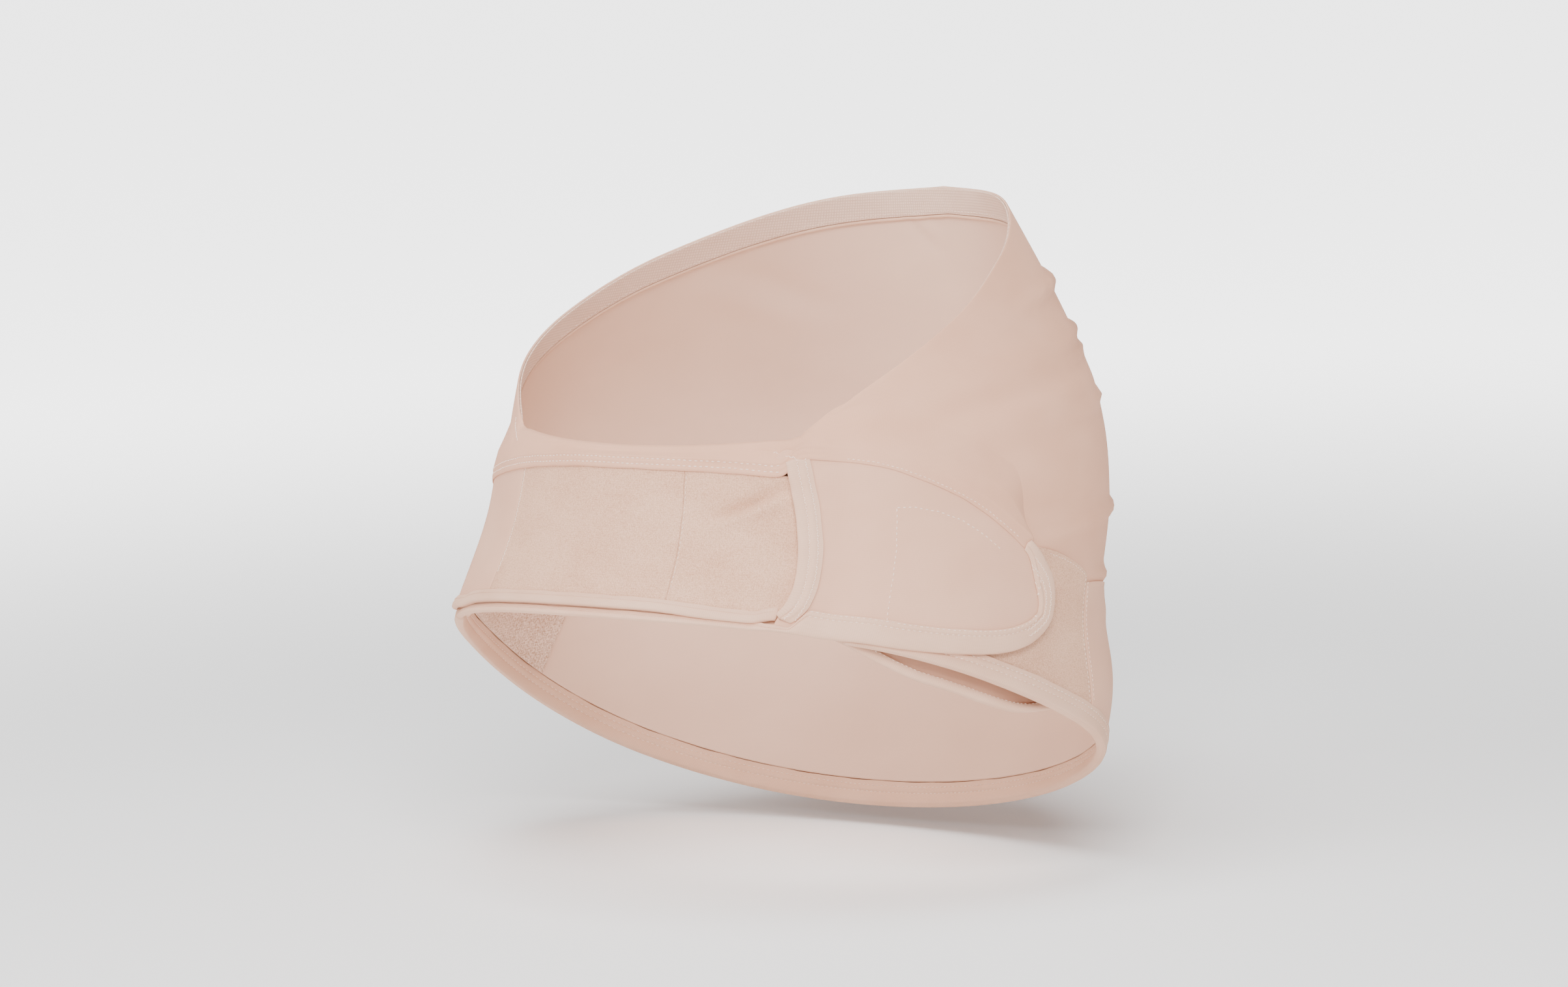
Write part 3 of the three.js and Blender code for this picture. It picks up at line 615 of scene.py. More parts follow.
def layPath(angles, heights, spacing):
    # the same line with a point every so many millimetres
    angles, heights = np.asarray(angles, float), np.asarray(heights, float)
    steps = np.hypot(np.diff(angles) * perDegree(angles[:-1], heights[:-1]), np.diff(heights))
    along = np.concatenate([[0], np.cumsum(steps)])
    places = np.linspace(0, along[-1], max(int(along[-1] / spacing), 4) + 1)
    return np.interp(places, along, angles), np.interp(places, along, heights), places


def besidePath(angles, heights, inward, upright=0.0):
    # points a distance in from a path, on the left of the way along; upright turns that way to
    # straight up
    scale = perDegree(angles, heights)
    along = np.stack([np.gradient(angles) * scale, np.gradient(heights)], axis=-1)
    along /= np.linalg.norm(along, axis=-1, keepdims=True)
    share = np.broadcast_to(upright, angles.shape)[:, None]
    along = along * (1 - share) + np.array([1.0, 0.0]) * share
    return angles - along[:, 1] * inward / scale, heights + along[:, 0] * inward


def sweptTrim(settings, angles, heights, section, ends=0.8):
    # section gives, for each point of the path, distances in from it and out from the body
    angles, heights, places = layPath(angles, heights, settings["step"])
    inward, out = section(angles, heights, places)
    near = np.minimum(places, places[-1] - places)
    close = np.sqrt(1 - (1 - np.clip(near / ends, 0, 1)) ** 2)[:, None]
    inward, out = (blended(side.mean(axis=1, keepdims=True), side, close) for side in (inward, out))
    count, size = inward.shape
    upright = settings["upright"](angles) if "upright" in settings else 0.0
    columns = [besidePath(angles, heights, inward[:, side], upright) for side in range(size)]
    turn, height = (np.stack(way, axis=1) for way in zip(*columns))
    points = onForm(turn, height, out).reshape(-1, 3)
    number = np.arange(count * size).reshape(count, size)
    beside = np.roll(number, -1, axis=1)
    faces = np.stack([number[:-1], beside[:-1], beside[1:], number[1:]], axis=-1).reshape(-1, 4)
    steps = np.hypot(np.diff(inward, axis=1, prepend=0), np.diff(out, axis=1, prepend=0))
    maps = np.stack([np.repeat(places[:, None], size, axis=1), np.cumsum(steps, axis=1)], axis=-1)
    piece = addPiece(settings, points, faces, maps.reshape(-1, 2))
    mergePoints(piece.data, 1e-6, outward=True)
    return piece


def roundLoop(corners, radius, places, fineness=4):
    # a closed outline with each of its corners rounded, at every place along the path
    corners = [np.stack([inward + 0 * places, out + 0 * places]) for inward, out in corners]
    loop = []
    for index, here in enumerate(corners):
        before, after = corners[index - 1] - here, corners[(index + 1) % len(corners)] - here
        lengths = np.hypot(*before), np.hypot(*after)
        cut = np.minimum(radius, np.minimum(*lengths) * 0.49)
        first, last = here + before / lengths[0] * cut, here + after / lengths[1] * cut
        for share in np.linspace(0, 1, fineness + 1):
            loop.append(first * (1 - share) ** 2 + here * 2 * share * (1 - share) + last * share ** 2)
    loop = np.array(loop)
    return loop[:, 0].T, loop[:, 1].T


def steady(value):
    # a distance from the body that is the same everywhere
    return lambda angle, height=None: value + 0 * np.asarray(angle, float)


# Jersey wall, all the way round

jerseyPanel = {"name": "bellyPanel", "nodes": ["belly_panel"], "material": "weftJersey", "slot": "jersey",
               "wall": jerseyWall, "column": 3.0, "row": 1.9}

pieces = {}
pieces["jersey"] = clothSheet(jerseyPanel, 0, 360, jerseyFoot, rimTop,
                              lambda angle, height: -jerseySink(angle, height))
print("jersey wall: made")

# Elastic inside the upper rim, with a thin cord sewn along its lower edge

waistElastic = {"name": "waistElastic", "nodes": ["waist_elastic"], "material": "ribElastic",
                "slot": "elastic", "wall": 0.8, "roundness": 0.5, "inside": -0.9, "column": 2.4, "row": 1.1,
                "start": rimSizes["cornerAngle"] + 2, "end": 358 - rimSizes["cornerAngle"], "cord": 1.7}

pieces["elastic"] = clothSheet(
    waistElastic, waistElastic["start"], waistElastic["end"],
    lambda angle: rimTop(angle) - clothSizes["elasticWidth"], lambda angle: rimTop(angle) - 0.15,
    steady(waistElastic["inside"]))


def cordSection(angles, heights, places):
    zero, wide = 0 * places, waistElastic["cord"]
    turn = np.linspace(0, 2 * math.pi, 9)[:-1]
    inward = np.array([zero - wide / 2 * math.cos(step) for step in turn]).T
    out = np.array([zero - 0.75 - wide * 0.38 * math.sin(step) for step in turn]).T
    return inward, out


cordAngles = np.arange(waistElastic["start"] + 0.5, waistElastic["end"] - 0.5, 0.5)
pieces["elasticCord"] = sweptTrim(
    {"name": "elasticCord", "nodes": [], "material": "foldedBinding", "slot": "elastic", "step": 2.2},
    cordAngles, rimTop(cordAngles) - clothSizes["elasticWidth"] - 1.1, cordSection)

# Belts: the right one runs under the left one at the back and lets it through its slot

beltLook = {"material": "powerKnit", "slot": "firm_knit", "wall": beltWall, "column": 2.2,
            "row": 2.2}
loopLook = {**beltLook, "material": "loopPile", "slot": "loop_fabric", "roundness": 0.08}
seamHalf = 0.01  # half the gap in degrees between two pieces that meet at a seam

# where the slot's bound edge stands, up its height
slotLine = {"height": [10, 18.6, 22.5, 31, 47, 64, 78, 88, 96],
            "angle": [33.3, 34.2, 35.3, 36.1, 35.7, 34.7, 33.5, 32.9, 32.7]}
slotEdge = slotAngle - edgeGap / float(perDegree(slotAngle, slotFoot))
seamLean = {"top": 80, "foot": 20, "lean": -3.2}


def slotShift(height):
    return readTable(slotLine["height"], slotLine["angle"], height) - slotEdge


def bySlot(angle, height):
    return slotShift(height) * np.exp(-((angle - slotAngle) / 6) ** 2)


def byLoopSeam(angle, height):
    share = (seamLean["top"] - height) / (seamLean["top"] - seamLean["foot"])
    return seamLean["lean"] * share * np.exp(-((angle - beltSizes["loopStart"]) / 10) ** 2)


pieces["rightBelt"] = clothSheet(
    {**beltLook, "name": "rightBelt", "nodes": ["right_belt"]}, -anchorAngle, tabAngle,
    rightBeltFoot, rightBeltTop, rightBeltInside, warp=bySlot,
    opening=((slotAngle - slotWidth, slotAngle), (0.025, 0.945)))
pieces["leftBelt"] = clothSheet(
    {**beltLook, "name": "leftBelt", "nodes": ["left_belt"], "roundness": 0.08}, -tabAngle,
    beltSizes["loopStart"] - seamHalf, leftBeltFoot, leftBeltTop, leftBeltInside, warp=byLoopSeam)
pieces["loopPanel"] = clothSheet(
    {**loopLook, "name": "backLoopPanel", "nodes": ["back_loop_panel"]}, beltSizes["loopStart"] + seamHalf,
    loopSeam - seamHalf, leftBeltFoot, leftBeltTop, leftBeltInside, warp=byLoopSeam)
pieces["slotEnd"] = clothSheet(
    {**loopLook, "name": "slotEndPanel", "nodes": ["slot_end_panel"]}, loopSeam + seamHalf, anchorAngle,
    leftBeltFoot, leftBeltTop, leftBeltInside)
print("belts: made")

# Hip patches, front band and the coarse inner face at the left hip

def pressed(top):
    # a panel that lies on the jersey along its top edge
    return lambda angle, height: innerLane - 0.42 * smooth(height, top(angle) - 4, top(angle) - 0.5)


patchLook = {"material": "loopPile", "slot": "loop_fabric", "wall": clothSizes["patch"], "column": 2.4,
             "row": 2.4, "roundness": 0.25}

pieces["rightPatch"] = clothSheet(
    {**patchLook, "name": "rightHipPatch", "nodes": ["right_hip_loop_patch"]}, hipPatchAngle,
    frontSeamAngle - seamHalf, rimFootIn, hipPatchTop, pressed(hipPatchTop))
pieces["leftPatch"] = clothSheet(
    {**patchLook, "name": "leftHipPatch", "nodes": ["left_hip_loop_patch"]}, seamHalf - frontSeamAngle,
    -hipPatchAngle, rimFootIn, hipPatchTop, pressed(hipPatchTop))
pieces["innerPatch"] = clothSheet(
    {**patchLook, "name": "leftInnerPatch", "nodes": ["left_inner_patch"], "material": "rawPile"},
    -frontSeamAngle, -hipPatchAngle, jerseyFoot, hipPatchTop, steady(-gap - clothSizes["patch"]))
pieces["frontBand"] = clothSheet(
    {**beltLook, "name": "frontBand", "nodes": ["front_band"], "wall": clothSizes["band"], "column": 2.8,
     "row": 2.2, "roundness": 0.25}, frontSeamAngle + seamHalf, 360 - frontSeamAngle - seamHalf,
    rimFootIn, frontTop, pressed(frontTop))

# Hook patches inside the tab ends

hookLook = {"material": "hookStrip", "slot": "hook_fabric", "wall": clothSizes["hook"], "column": 2,
            "row": 2}
hookIn, hookTuck = clothSizes["hookInset"], clothSizes["hookInset"] + hemTuck
hookTip = tabAngle - clothSizes["hookTipInset"]
hookOut = gap + clothSizes["hook"]

pieces["rightHook"] = clothSheet(
    {**hookLook, "name": "rightHookPatch", "nodes": ["right_hook_patch"]}, clothSizes["hookAngle"], hookTip,
    lambda angle: rightBeltFoot(angle) + hookIn, lambda angle: rightBeltTop(angle) - hookTuck,
    lambda angle, height: rightBeltInside(angle) - hookOut)
pieces["leftHook"] = clothSheet(
    {**hookLook, "name": "leftHookPatch", "nodes": ["left_hook_patch"]}, -hookTip, -clothSizes["hookAngle"],
    lambda angle: leftBeltFoot(angle) + hookIn, lambda angle: leftBeltTop(angle) - hookTuck,
    lambda angle, height: leftBeltInside(angle) - hookOut)
print("patches and band: made")

# Bindings: a strip folded over the cloth's edge and held by needle rows, between which it swells.
# Stitching draws its edges up, so they waver. Rows are distances from the fold.

bindingFold = {"material": "foldedBinding", "slot": "binding", "step": 1.3, "swell": 0.75, "waver": 0.16,
               "roundness": 1.15, "tabRows": (7.9, 10.0), "slotRows": (4.9, 8.6), "rimRows": (5.2, 8.0)}


def waver(places, amount, seed):
    # an uneven edge, as stitching through stretch cloth leaves it
    phase = seed * 1.7
    slow = np.sin(places / 5.1 + phase) + 0.7 * np.sin(places / 2.9 + phase * 2.3)
    return amount * (slow + 0.5 * np.sin(places / 11.3 + phase * 0.7)) / 1.6


def puffed(rows, outside, scale, places, seed, press=1.0):
    # cloth that swells between the fold and each needle row, and is drawn in at the rows
    tight = 1 + 0.2 * np.sin(places / 3.7 + seed) * np.sin(places / 6.1 + 2 * seed)
    face = []
    start = 0.0
    for row in rows:
        width = row - start
        swell = bindingFold["swell"] * (width / 8) ** 0.6 * press * np.minimum(scale * 1.3, 1)
        shares = (0.14, 0.34, 0.56, 0.78, 0.93) if width > 4 else (0.25, 0.5, 0.75)
        for share in shares:
            bulge = math.sin(math.pi * share) ** 0.7
            face.append(((start + width * share) * scale, outside + swell * bulge * tight))
        face.append((row * scale, outside - 0.16 * press))
        start = row
    return face


def lipOutline(inside, outside, leg, rows, places, seed, press=1.0):
    # a roll under the edge with a leg over the outer face
    wall, over = bindingWall, edgeGap * press
    end = wall + leg + 0.5 + waver(places, bindingFold["waver"], seed)
    corners = [(0, inside), (-0.1, outside + over - 0.4 * press),
               *puffed(rows, outside + over, leg / bindingWidth, places, seed, press),
               (end, outside + over * 0.45), (end, outside + 0.12), (wall + 0.1, outside + 0.12),
               (wall + 0.1, inside)]
    return roundLoop(corners, bindingFold["roundness"], places)


def wrapOutline(inside, outside, leg, rows, places, seed):
    # a fold with one leg on each face of the cloth
    wall, over = bindingWall, edgeGap
    end = wall + leg + waver(places, bindingFold["waver"], seed)
    front = puffed(rows, outside + over, leg / bindingWidth, places, seed)
    back = [(inward, inside + outside - out) for inward, out in front[::-1]]
    corners = [*front, (end, outside + over - 0.15), (end, outside + 0.12), (wall + 0.1, outside + 0.12),
               (wall + 0.1, inside - 0.12), (end, inside - 0.12), (end, inside - over + 0.15),
               *back, (-0.1, (inside + outside) / 2)]
    return roundLoop(corners, bindingFold["roundness"], places)


def tabPath(foot, top):
    # along the lower edge of a tab, round its tip and back along its upper edge
    tipStep = edgeGap / float(perDegree(tabAngle, slotFoot))
    short = np.concatenate([np.linspace(8.5, 1.2, 16), [0.9, 0.6, 0.35, 0.15, 0]])
    angles = tabAngle - short
    moved = angles + tipStep * smooth(angles, tabAngle - 6, tabAngle)
    lower = np.stack([moved, foot(angles)])
    upper = np.stack([moved, top(angles) + edgeGap])[:, ::-1]
    return np.concatenate([lower, upper], axis=1)


def softened(line, times=6):
    line = np.stack(layPath(line[0], line[1], 1.0)[:2])
    for _ in range(times):
        middle = (line[:, :-2] + 2 * line[:, 1:-1] + line[:, 2:]) / 4
        line = np.concatenate([line[:, :1], middle, line[:, -1:]], axis=1)
    return line


straightRight = np.arange(-anchorAngle, 79.5, 0.5)
rightLine = softened(np.concatenate([np.stack([straightRight, rightBeltEdge(straightRight)]),
                                     tabPath(rightBeltEdge, rightBeltTop)], axis=1))


def narrowing(places, leg):
    # the leg of a tab's binding, which narrows up to its end on the tab's upper edge
    tail = places[-1] - places
    return 4 + (leg - 4) * smooth(tail, 2, 26)


def rightBindingSection(angles, heights, places):
    inside = rightBeltInside(np.minimum(angles, tabAngle))
    under = 1 - smooth(angles, slotAngle + 1.5, slotAngle + 4.5)
    narrow = beltSizes["crossingRise"] - bindingWall - 2 * gap - smooth(angles, *beltSizes["neckFoot"])
    leg = blended(bindingWidth, narrow, under)
    leg = np.minimum(leg, narrowing(places, leg))
    return lipOutline(inside, inside + beltWall, leg, bindingFold["tabRows"], places, 1)


pieces["rightBinding"] = sweptTrim(
    {**bindingFold, "name": "rightBeltBinding", "nodes": ["right_belt_binding"]},
    *rightLine, rightBindingSection)

straightLeft = np.arange(0.5 - slotAngle, 79.5, 0.5)
leftLine = softened(np.concatenate([
    np.stack([straightLeft, leftBeltEdge(-straightLeft)]),
    tabPath(lambda angle: leftBeltEdge(-angle), lambda angle: leftBeltTop(-angle))], axis=1))
leftLine = leftLine[:, ::-1] * np.array([[-1], [1]])


def leftBindingSection(angles, heights, places):
    inside = leftBeltInside(np.maximum(angles, -tabAngle))
    leg = bindingWidth + 0 * places
    press = 1 - 0.75 * smooth(angles, 31, 34.2)
    leg = np.minimum(leg, narrowing(places[-1] - places, leg))
    return lipOutline(inside, inside + beltWall, leg, bindingFold["tabRows"], places, 2, press)


pieces["leftBinding"] = sweptTrim(
    {**bindingFold, "name": "leftBeltBinding", "nodes": ["left_belt_binding"]},
    *leftLine, leftBindingSection)

slotHeights = np.linspace(90.4, 17.6, 60)
slotPath = np.stack([readTable(slotLine["height"], slotLine["angle"], slotHeights), slotHeights])
slotInside = float(rightBeltInside(slotAngle))


def slotSection(angles, heights, places):
    leg = clothSizes["slotBindingWidth"] - 3.6 * smooth(-heights, -25, -18)
    return lipOutline(slotInside, slotInside + beltWall, leg, bindingFold["slotRows"], places, 3)


pieces["slotBinding"] = sweptTrim(
    {**bindingFold, "name": "slotBinding", "nodes": ["slot_binding"]}, *slotPath, slotSection)

lowerRim = {**bindingFold, "name": "lowerRimBinding", "nodes": ["lower_rim_binding"], "step": 1.8,
            "start": 46, "end": 308, "startLeg": 3, "widening": (47, 56)}
rimAngles = np.arange(lowerRim["start"], lowerRim["end"] + 0.1, 0.5)


def rimSection(angles, heights, places):
    # it starts narrow, behind the right tab
    wider = bindingWidth - lowerRim["startLeg"]
    leg = lowerRim["startLeg"] + wider * smooth(angles, *lowerRim["widening"])
    return wrapOutline(innerLane, innerLane + clothSizes["band"], leg, bindingFold["rimRows"], places, 4)


pieces["rimBinding"] = sweptTrim(lowerRim, rimAngles, rimFoot(rimAngles), rimSection)

innerAngles = np.arange(-anchorAngle + 2, clothSizes["sagEnd"] - 6 + 0.1, 0.5)


def innerRimSection(angles, heights, places):
    # a plain fold where it is held flat, fuller where the jersey hangs free
    sunk = jerseySink(angles, jerseyFoot(angles))
    share = np.clip(sunk / clothSizes["sagInward"], 0, 1)
    inside, outside = -sunk, jerseyWall - sunk
    wall, leg = bindingWall, bindingWall + clothSizes["innerRimWidth"] - 1.2 * share
    over, under = outside + 0.3 + 1.1 * share, inside - gap - wall
    corners = [(-0.1, over - 0.2), (leg * 0.5, over + 0.7 * share), (leg, over - 0.1), (leg, outside + 0.1),
               (wall, outside + 0.1), (wall, inside - 0.12), (leg, inside - 0.12), (leg, under),
               (leg * 0.5, under - 0.3), (-0.1, under + 0.2)]
    return roundLoop(corners, 1.1, places)


pieces["innerRim"] = sweptTrim(
    {**bindingFold, "name": "innerRimBinding", "nodes": ["inner_rim_binding"]},
    innerAngles, jerseyFoot(innerAngles) - edgeGap, innerRimSection)
print("bindings: made")

# One hem covers the belts' upper edges. At the back it wraps over the rim; past the corners its
# upper side thins out over the jersey, so only its low edge and its needle rows show.

jerseyHem = {"name": "jerseyHem", "nodes": ["back_top_hem", "right_seam_hem"], "material": "weftJersey",
             "slot": "jersey", "step": 1.6, "start": -80.2, "end": 80.2, "feather": 27, "innerLeg": 8,
             "rows": (2.5, 5.3), "upright": lambda angle: 1 - smooth(np.abs(angle), 42, 52)}


def hemLine(angle):
    # the hem's low edge, from the left tab over the back to the right tab
    right = smooth(angle, 30.5, 36.5)
    onBack = hemLow(np.minimum(angle, slotAngle))
    return blended(onBack, rightBeltTop(angle) - hemTuck, right)


def hemSection(angles, heights, places):
    beside = smooth(np.abs(angles), 30, 43)
    fade = 1 - smooth(np.abs(angles), 70, jerseyHem["end"])
    under = np.maximum(leftBeltInside(angles), rightBeltInside(angles)) + beltWall
    tuck = np.maximum(np.where(angles > 35, 0, leftBeltTop(angles)), rightBeltTop(angles)) - heights
    tuck = np.minimum(tuck, hemTuck + 0.5) * (0.4 + 0.6 * fade) + gap
    strip = np.maximum(rimTop(np.clip(angles, -44, 44)) - heights, 6)
    room = (rimTop(angles + 3 * np.sign(angles)) - heights) * 0.94 - 1
    wide = np.minimum(tuck + jerseyHem["feather"] * (0.25 + 0.75 * fade), np.maximum(room, 8.5))
    low, high = under + 0.12, under + 0.35 + 0.8 * (0.5 + 0.5 * fade) * (1 - 0.45 * beside)
    rest = jerseyWall + 0.06
    uneven = waver(places, 0.12, 5)
    rows, puff = jerseyHem["rows"], 0.34 - 0.27 * beside
    drawn = 0.07 * beside - 0.1
    spots = [(0.45 * rows[0], puff), (rows[0], drawn), ((rows[0] + rows[1]) / 2, puff), (rows[1], drawn),
             (rows[1] + 1.1, puff)]
    face = [(uneven, low), (uneven, high - 0.25)] + [(min(spot, 9), high + out) for spot, out in spots]
    leg = strip - jerseyHem["innerLeg"]
    back = [(np.maximum(strip * 0.78, rows[1] + 1.7), rest + 2.2), (strip + 0.3, rest + 1.2),
            (strip + 1.2, 0.3), (strip + 0.4, -0.9), (leg, -0.85), (leg, -0.12), (strip + 0.15, -0.12),
            (strip + 0.15, rest), (tuck + 1.0, rest)]
    front = []
    base = rows[1] + 1.6
    for share in (0.3, 0.6, 0.85, 1.0):
        drop = share * share * (3 - 2 * share)
        front.append((base + (wide - base) * share, blended(high, rest - 0.35, drop)))
    for share in (0.97, 0.8, 0.6, 0.4):
        front.append((tuck + (wide - tuck) * share, rest - 0.45 * share))
    front.append((tuck + 1.0, rest))
    sides = [tuple(blended(b, f, beside) for b, f in zip(*pair)) for pair in zip(back, front)]
    return roundLoop([*face, *sides, (tuck + 0.4, low)], 0.7, places)


hemAngles = np.arange(jerseyHem["start"], jerseyHem["end"] + 0.1, 0.4)
hemPath = softened(np.stack([hemAngles, hemLine(hemAngles)]))
pieces["hem"] = sweptTrim(jerseyHem, *hemPath, hemSection, ends=6)
print("hem: made")

# Stitches: each row is a line on the form, dropped onto the piece that carries it. One node tree
# lays the threads along the rows.

stitchRows = {
    "hemStitches": {"pitch": 2.9, "thread": 0.66, "zigzag": 0.0, "slot": "jersey", "rows": []},
    "bindingStitches": {"pitch": 2.7, "thread": 0.6, "zigzag": 0.0, "slot": "binding", "rows": []},
    "zigzagStitches": {"pitch": 1.25, "thread": 0.55, "zigzag": 0.75, "slot": "binding", "rows": []},
    "seamStitches": {"pitch": 2.3, "thread": 0.45, "zigzag": 0.0, "slot": "firm_knit", "rows": []},
}


def addRow(kind, carrier, angles, heights, side=1):
    stitchRows[kind]["rows"].append((carrier, angles, heights, side))


def addBeside(kind, carrier, line, distance, low=-999, high=999, side=1):
    # a row that keeps its distance from a line, between two angles
    angles, heights, _ = layPath(*line, 1.2)
    angles, heights = besidePath(angles, heights, np.full(len(angles), float(distance)))
    keep = (angles >= low) & (angles <= high)
    addRow(kind, carrier, angles[keep], heights[keep], side)


for distance in jerseyHem["rows"]:
    addBeside("hemStitches", "hem", hemPath, distance, -79, 31.5)
addBeside("seamStitches", "hem", hemPath, 1.5, 44, 77)
for distance in bindingFold["slotRows"]:
    addBeside("zigzagStitches", "slotBinding", slotPath, distance * clothSizes["slotBindingWidth"] / 9.5)
for distance in bindingFold["tabRows"]:
    addBeside("bindingStitches", "leftBinding", leftLine, distance, -86, 31)
    addBeside("bindingStitches", "rightBinding", rightLine, distance, 40, 84)
addRow("bindingStitches", "rightBelt", [52.5, 52.8, 53.1, 53.5], [64.2, 48, 30, 12])
addRow("bindingStitches", "rightBelt", [52.8, 55.3, 60.1, 64.8, 68.7, 73], [65.4, 65.3, 62.2, 57.1, 50.5, 42])
tip = rightLine[:, rightLine[0] > 82.5]
for distance in (4.2, 7.0):
    addBeside("zigzagStitches", "rightBinding", tip, distance)
patchEdge = np.linspace(88, 102.3, 24)
addRow("seamStitches", "rightPatch", patchEdge, hipPatchTop(patchEdge) - 2.0)
for angle, carrier in ((frontSeamAngle - 0.8, "rightPatch"), (frontSeamAngle + 0.8, "frontBand")):
    addRow("seamStitches", carrier, np.full(20, angle), np.linspace(19, -36, 20))
seamHeights = np.linspace(79, 29, 20)
leaning = beltSizes["loopStart"] + byLoopSeam(beltSizes["loopStart"], seamHeights)
addRow("zigzagStitches", "loopPanel", leaning + 0.5, seamHeights)
addRow("seamStitches", "slotEnd", np.full(20, loopSeam + 0.35), np.linspace(82, 31, 20))
rimLine = np.stack([rimAngles, rimFoot(rimAngles)])
for distance in bindingFold["rimRows"]:
    addBeside("bindingStitches", "rimBinding", rimLine, distance, 62, 296)
    addBeside("bindingStitches", "rimBinding", rimLine, distance, 120, 300, side=-1)
cordLine = np.arange(150, 315, 2.0)
addRow("seamStitches", "elastic", cordLine, rimTop(cordLine) - 12.2, -1)
addRow("seamStitches", "innerPatch", np.full(20, -101.6), np.linspace(-12, -50, 20), -1)
sagLine = np.stack([innerAngles, jerseyFoot(innerAngles) - edgeGap])
addBeside("seamStitches", "innerRim", sagLine, 3.4, 50, 92)
addRow("zigzagStitches", "hem", [30.8, 33.2, 34.6], [93.8, 91.9, 90.9])
addRow("zigzagStitches", "hem", [-42, -39, -36.5, -34.2], [100.5, 97, 94.9, 91.5])


def rowGuide(name, rows):
    # the rows as lines on their pieces, each point with the way out of the cloth
    points, edges, outward = [], [], []
    for carrier, angles, heights, side in rows:
        shape = pieces[carrier].data
        surface = BVHTree.FromPolygons([vertex.co for vertex in shape.vertices],
                                       [tuple(face.vertices) for face in shape.polygons])
        last = None
        for angle, height in zip(*layPath(angles, heights, 1.0)[:2]):
            away = Vector(bodyNormal(angle, height)) * side
            start = Vector(bodyPoint(angle, height)) / 1000 + away * 0.03
            hit, normal, _, _ = surface.ray_cast(start, -away, 0.06)
            if hit is None:
                last = None
                continue
            points.append(hit)
            outward.append(away)
            if last is not None:
                edges.append((last, len(points) - 1))
            last = len(points) - 1
    mesh = bpy.data.meshes.new(name)
    mesh.from_pydata(points, edges, [])
    ways = mesh.attributes.new("outward", "FLOAT_VECTOR", "POINT")
    ways.data.foreach_set("vector", np.array(outward).ravel())
    return mesh


def stitchTree():
    # threads along the rows, each an oval bead that leans by turns where the row zigzags
    tree = bpy.data.node_groups.new("stitchRow", "GeometryNodeTree")
    inputs = {"Rows": "Geometry", "Pitch": "Float", "Thread": "Float", "Zigzag": "Float", "Wander": "Float",
              "Seed": "Int", "Material": "Material"}
    for name, kind in inputs.items():
        tree.interface.new_socket(name, in_out="INPUT", socket_type="NodeSocket" + kind)
    tree.interface.new_socket("Stitches", in_out="OUTPUT", socket_type="NodeSocketGeometry")
    sizes = addNode(tree, "NodeGroupInput").outputs

    def named(name):
        return addNode(tree, "GeometryNodeInputNamedAttribute", {"Name": name}, data_type="FLOAT_VECTOR")

    def vectors(operation, inputs):
        return addNode(tree, "ShaderNodeVectorMath", inputs, operation=operation)

    curve = addNode(tree, "GeometryNodeMeshToCurve", {"Mesh": sizes["Rows"]})
    laid = addNode(tree, "GeometryNodeCurveToPoints", {"Curve": curve, "Length": sizes["Pitch"]},
                   mode="LENGTH")
    stored = addNode(tree, "GeometryNodeStoreNamedAttribute", {"Name": "way", "Geometry": laid,
                     "Value": laid.outputs["Tangent"]}, data_type="FLOAT_VECTOR", domain="POINT")
    out, way = named("outward"), named("way")
    across = vectors("CROSS_PRODUCT", {0: way, 1: out})
    odd = addMath(tree, "MODULO", addNode(tree, "GeometryNodeInputIndex"), 2.0)
    turn = addMath(tree, "MULTIPLY_ADD", odd, 2.0, -1.0)
    swing = addMath(tree, "MULTIPLY", turn, sizes["Zigzag"])
    lean = vectors("ADD", {0: way, 1: vectors("SCALE", {0: across, "Scale": swing})})
    facing = addNode(tree, "FunctionNodeAxesToRotation", {0: lean, 1: out}, primary_axis="X",
                     secondary_axis="Z")
    wander = addMath(tree, "MULTIPLY", sizes["Wander"], -1.0)
    chance = addNode(tree, "FunctionNodeRandomValue", {2: wander, 3: sizes["Wander"], "Seed": sizes["Seed"]},
                     data_type="FLOAT")
    shift = vectors("SCALE", {0: across, "Scale": chance.outputs[1]})
    moved = addNode(tree, "GeometryNodeSetPosition", {"Geometry": stored, "Offset": shift})
    bead = addNode(tree, "GeometryNodeMeshUVSphere", {"Segments": 6, "Rings": 4, "Radius": 0.5})
    length = addMath(tree, "MULTIPLY", sizes["Pitch"], 0.64)
    steep = addMath(tree, "MULTIPLY_ADD", sizes["Zigzag"], 0.0012, length)
    size = addNode(tree, "ShaderNodeCombineXYZ", {"X": steep, "Y": sizes["Thread"], "Z": sizes["Thread"]})
    beads = addNode(tree, "GeometryNodeInstanceOnPoints", {"Points": moved, "Instance": bead,
                    "Rotation": facing, "Scale": size})
    real = addNode(tree, "GeometryNodeRealizeInstances", {0: beads})
    smoothed = addNode(tree, "GeometryNodeSetShadeSmooth", {0: real})
    dressed = addNode(tree, "GeometryNodeSetMaterial", {"Geometry": smoothed, "Material": sizes["Material"]})
    addNode(tree, "NodeGroupOutput", {0: dressed})
    return tree


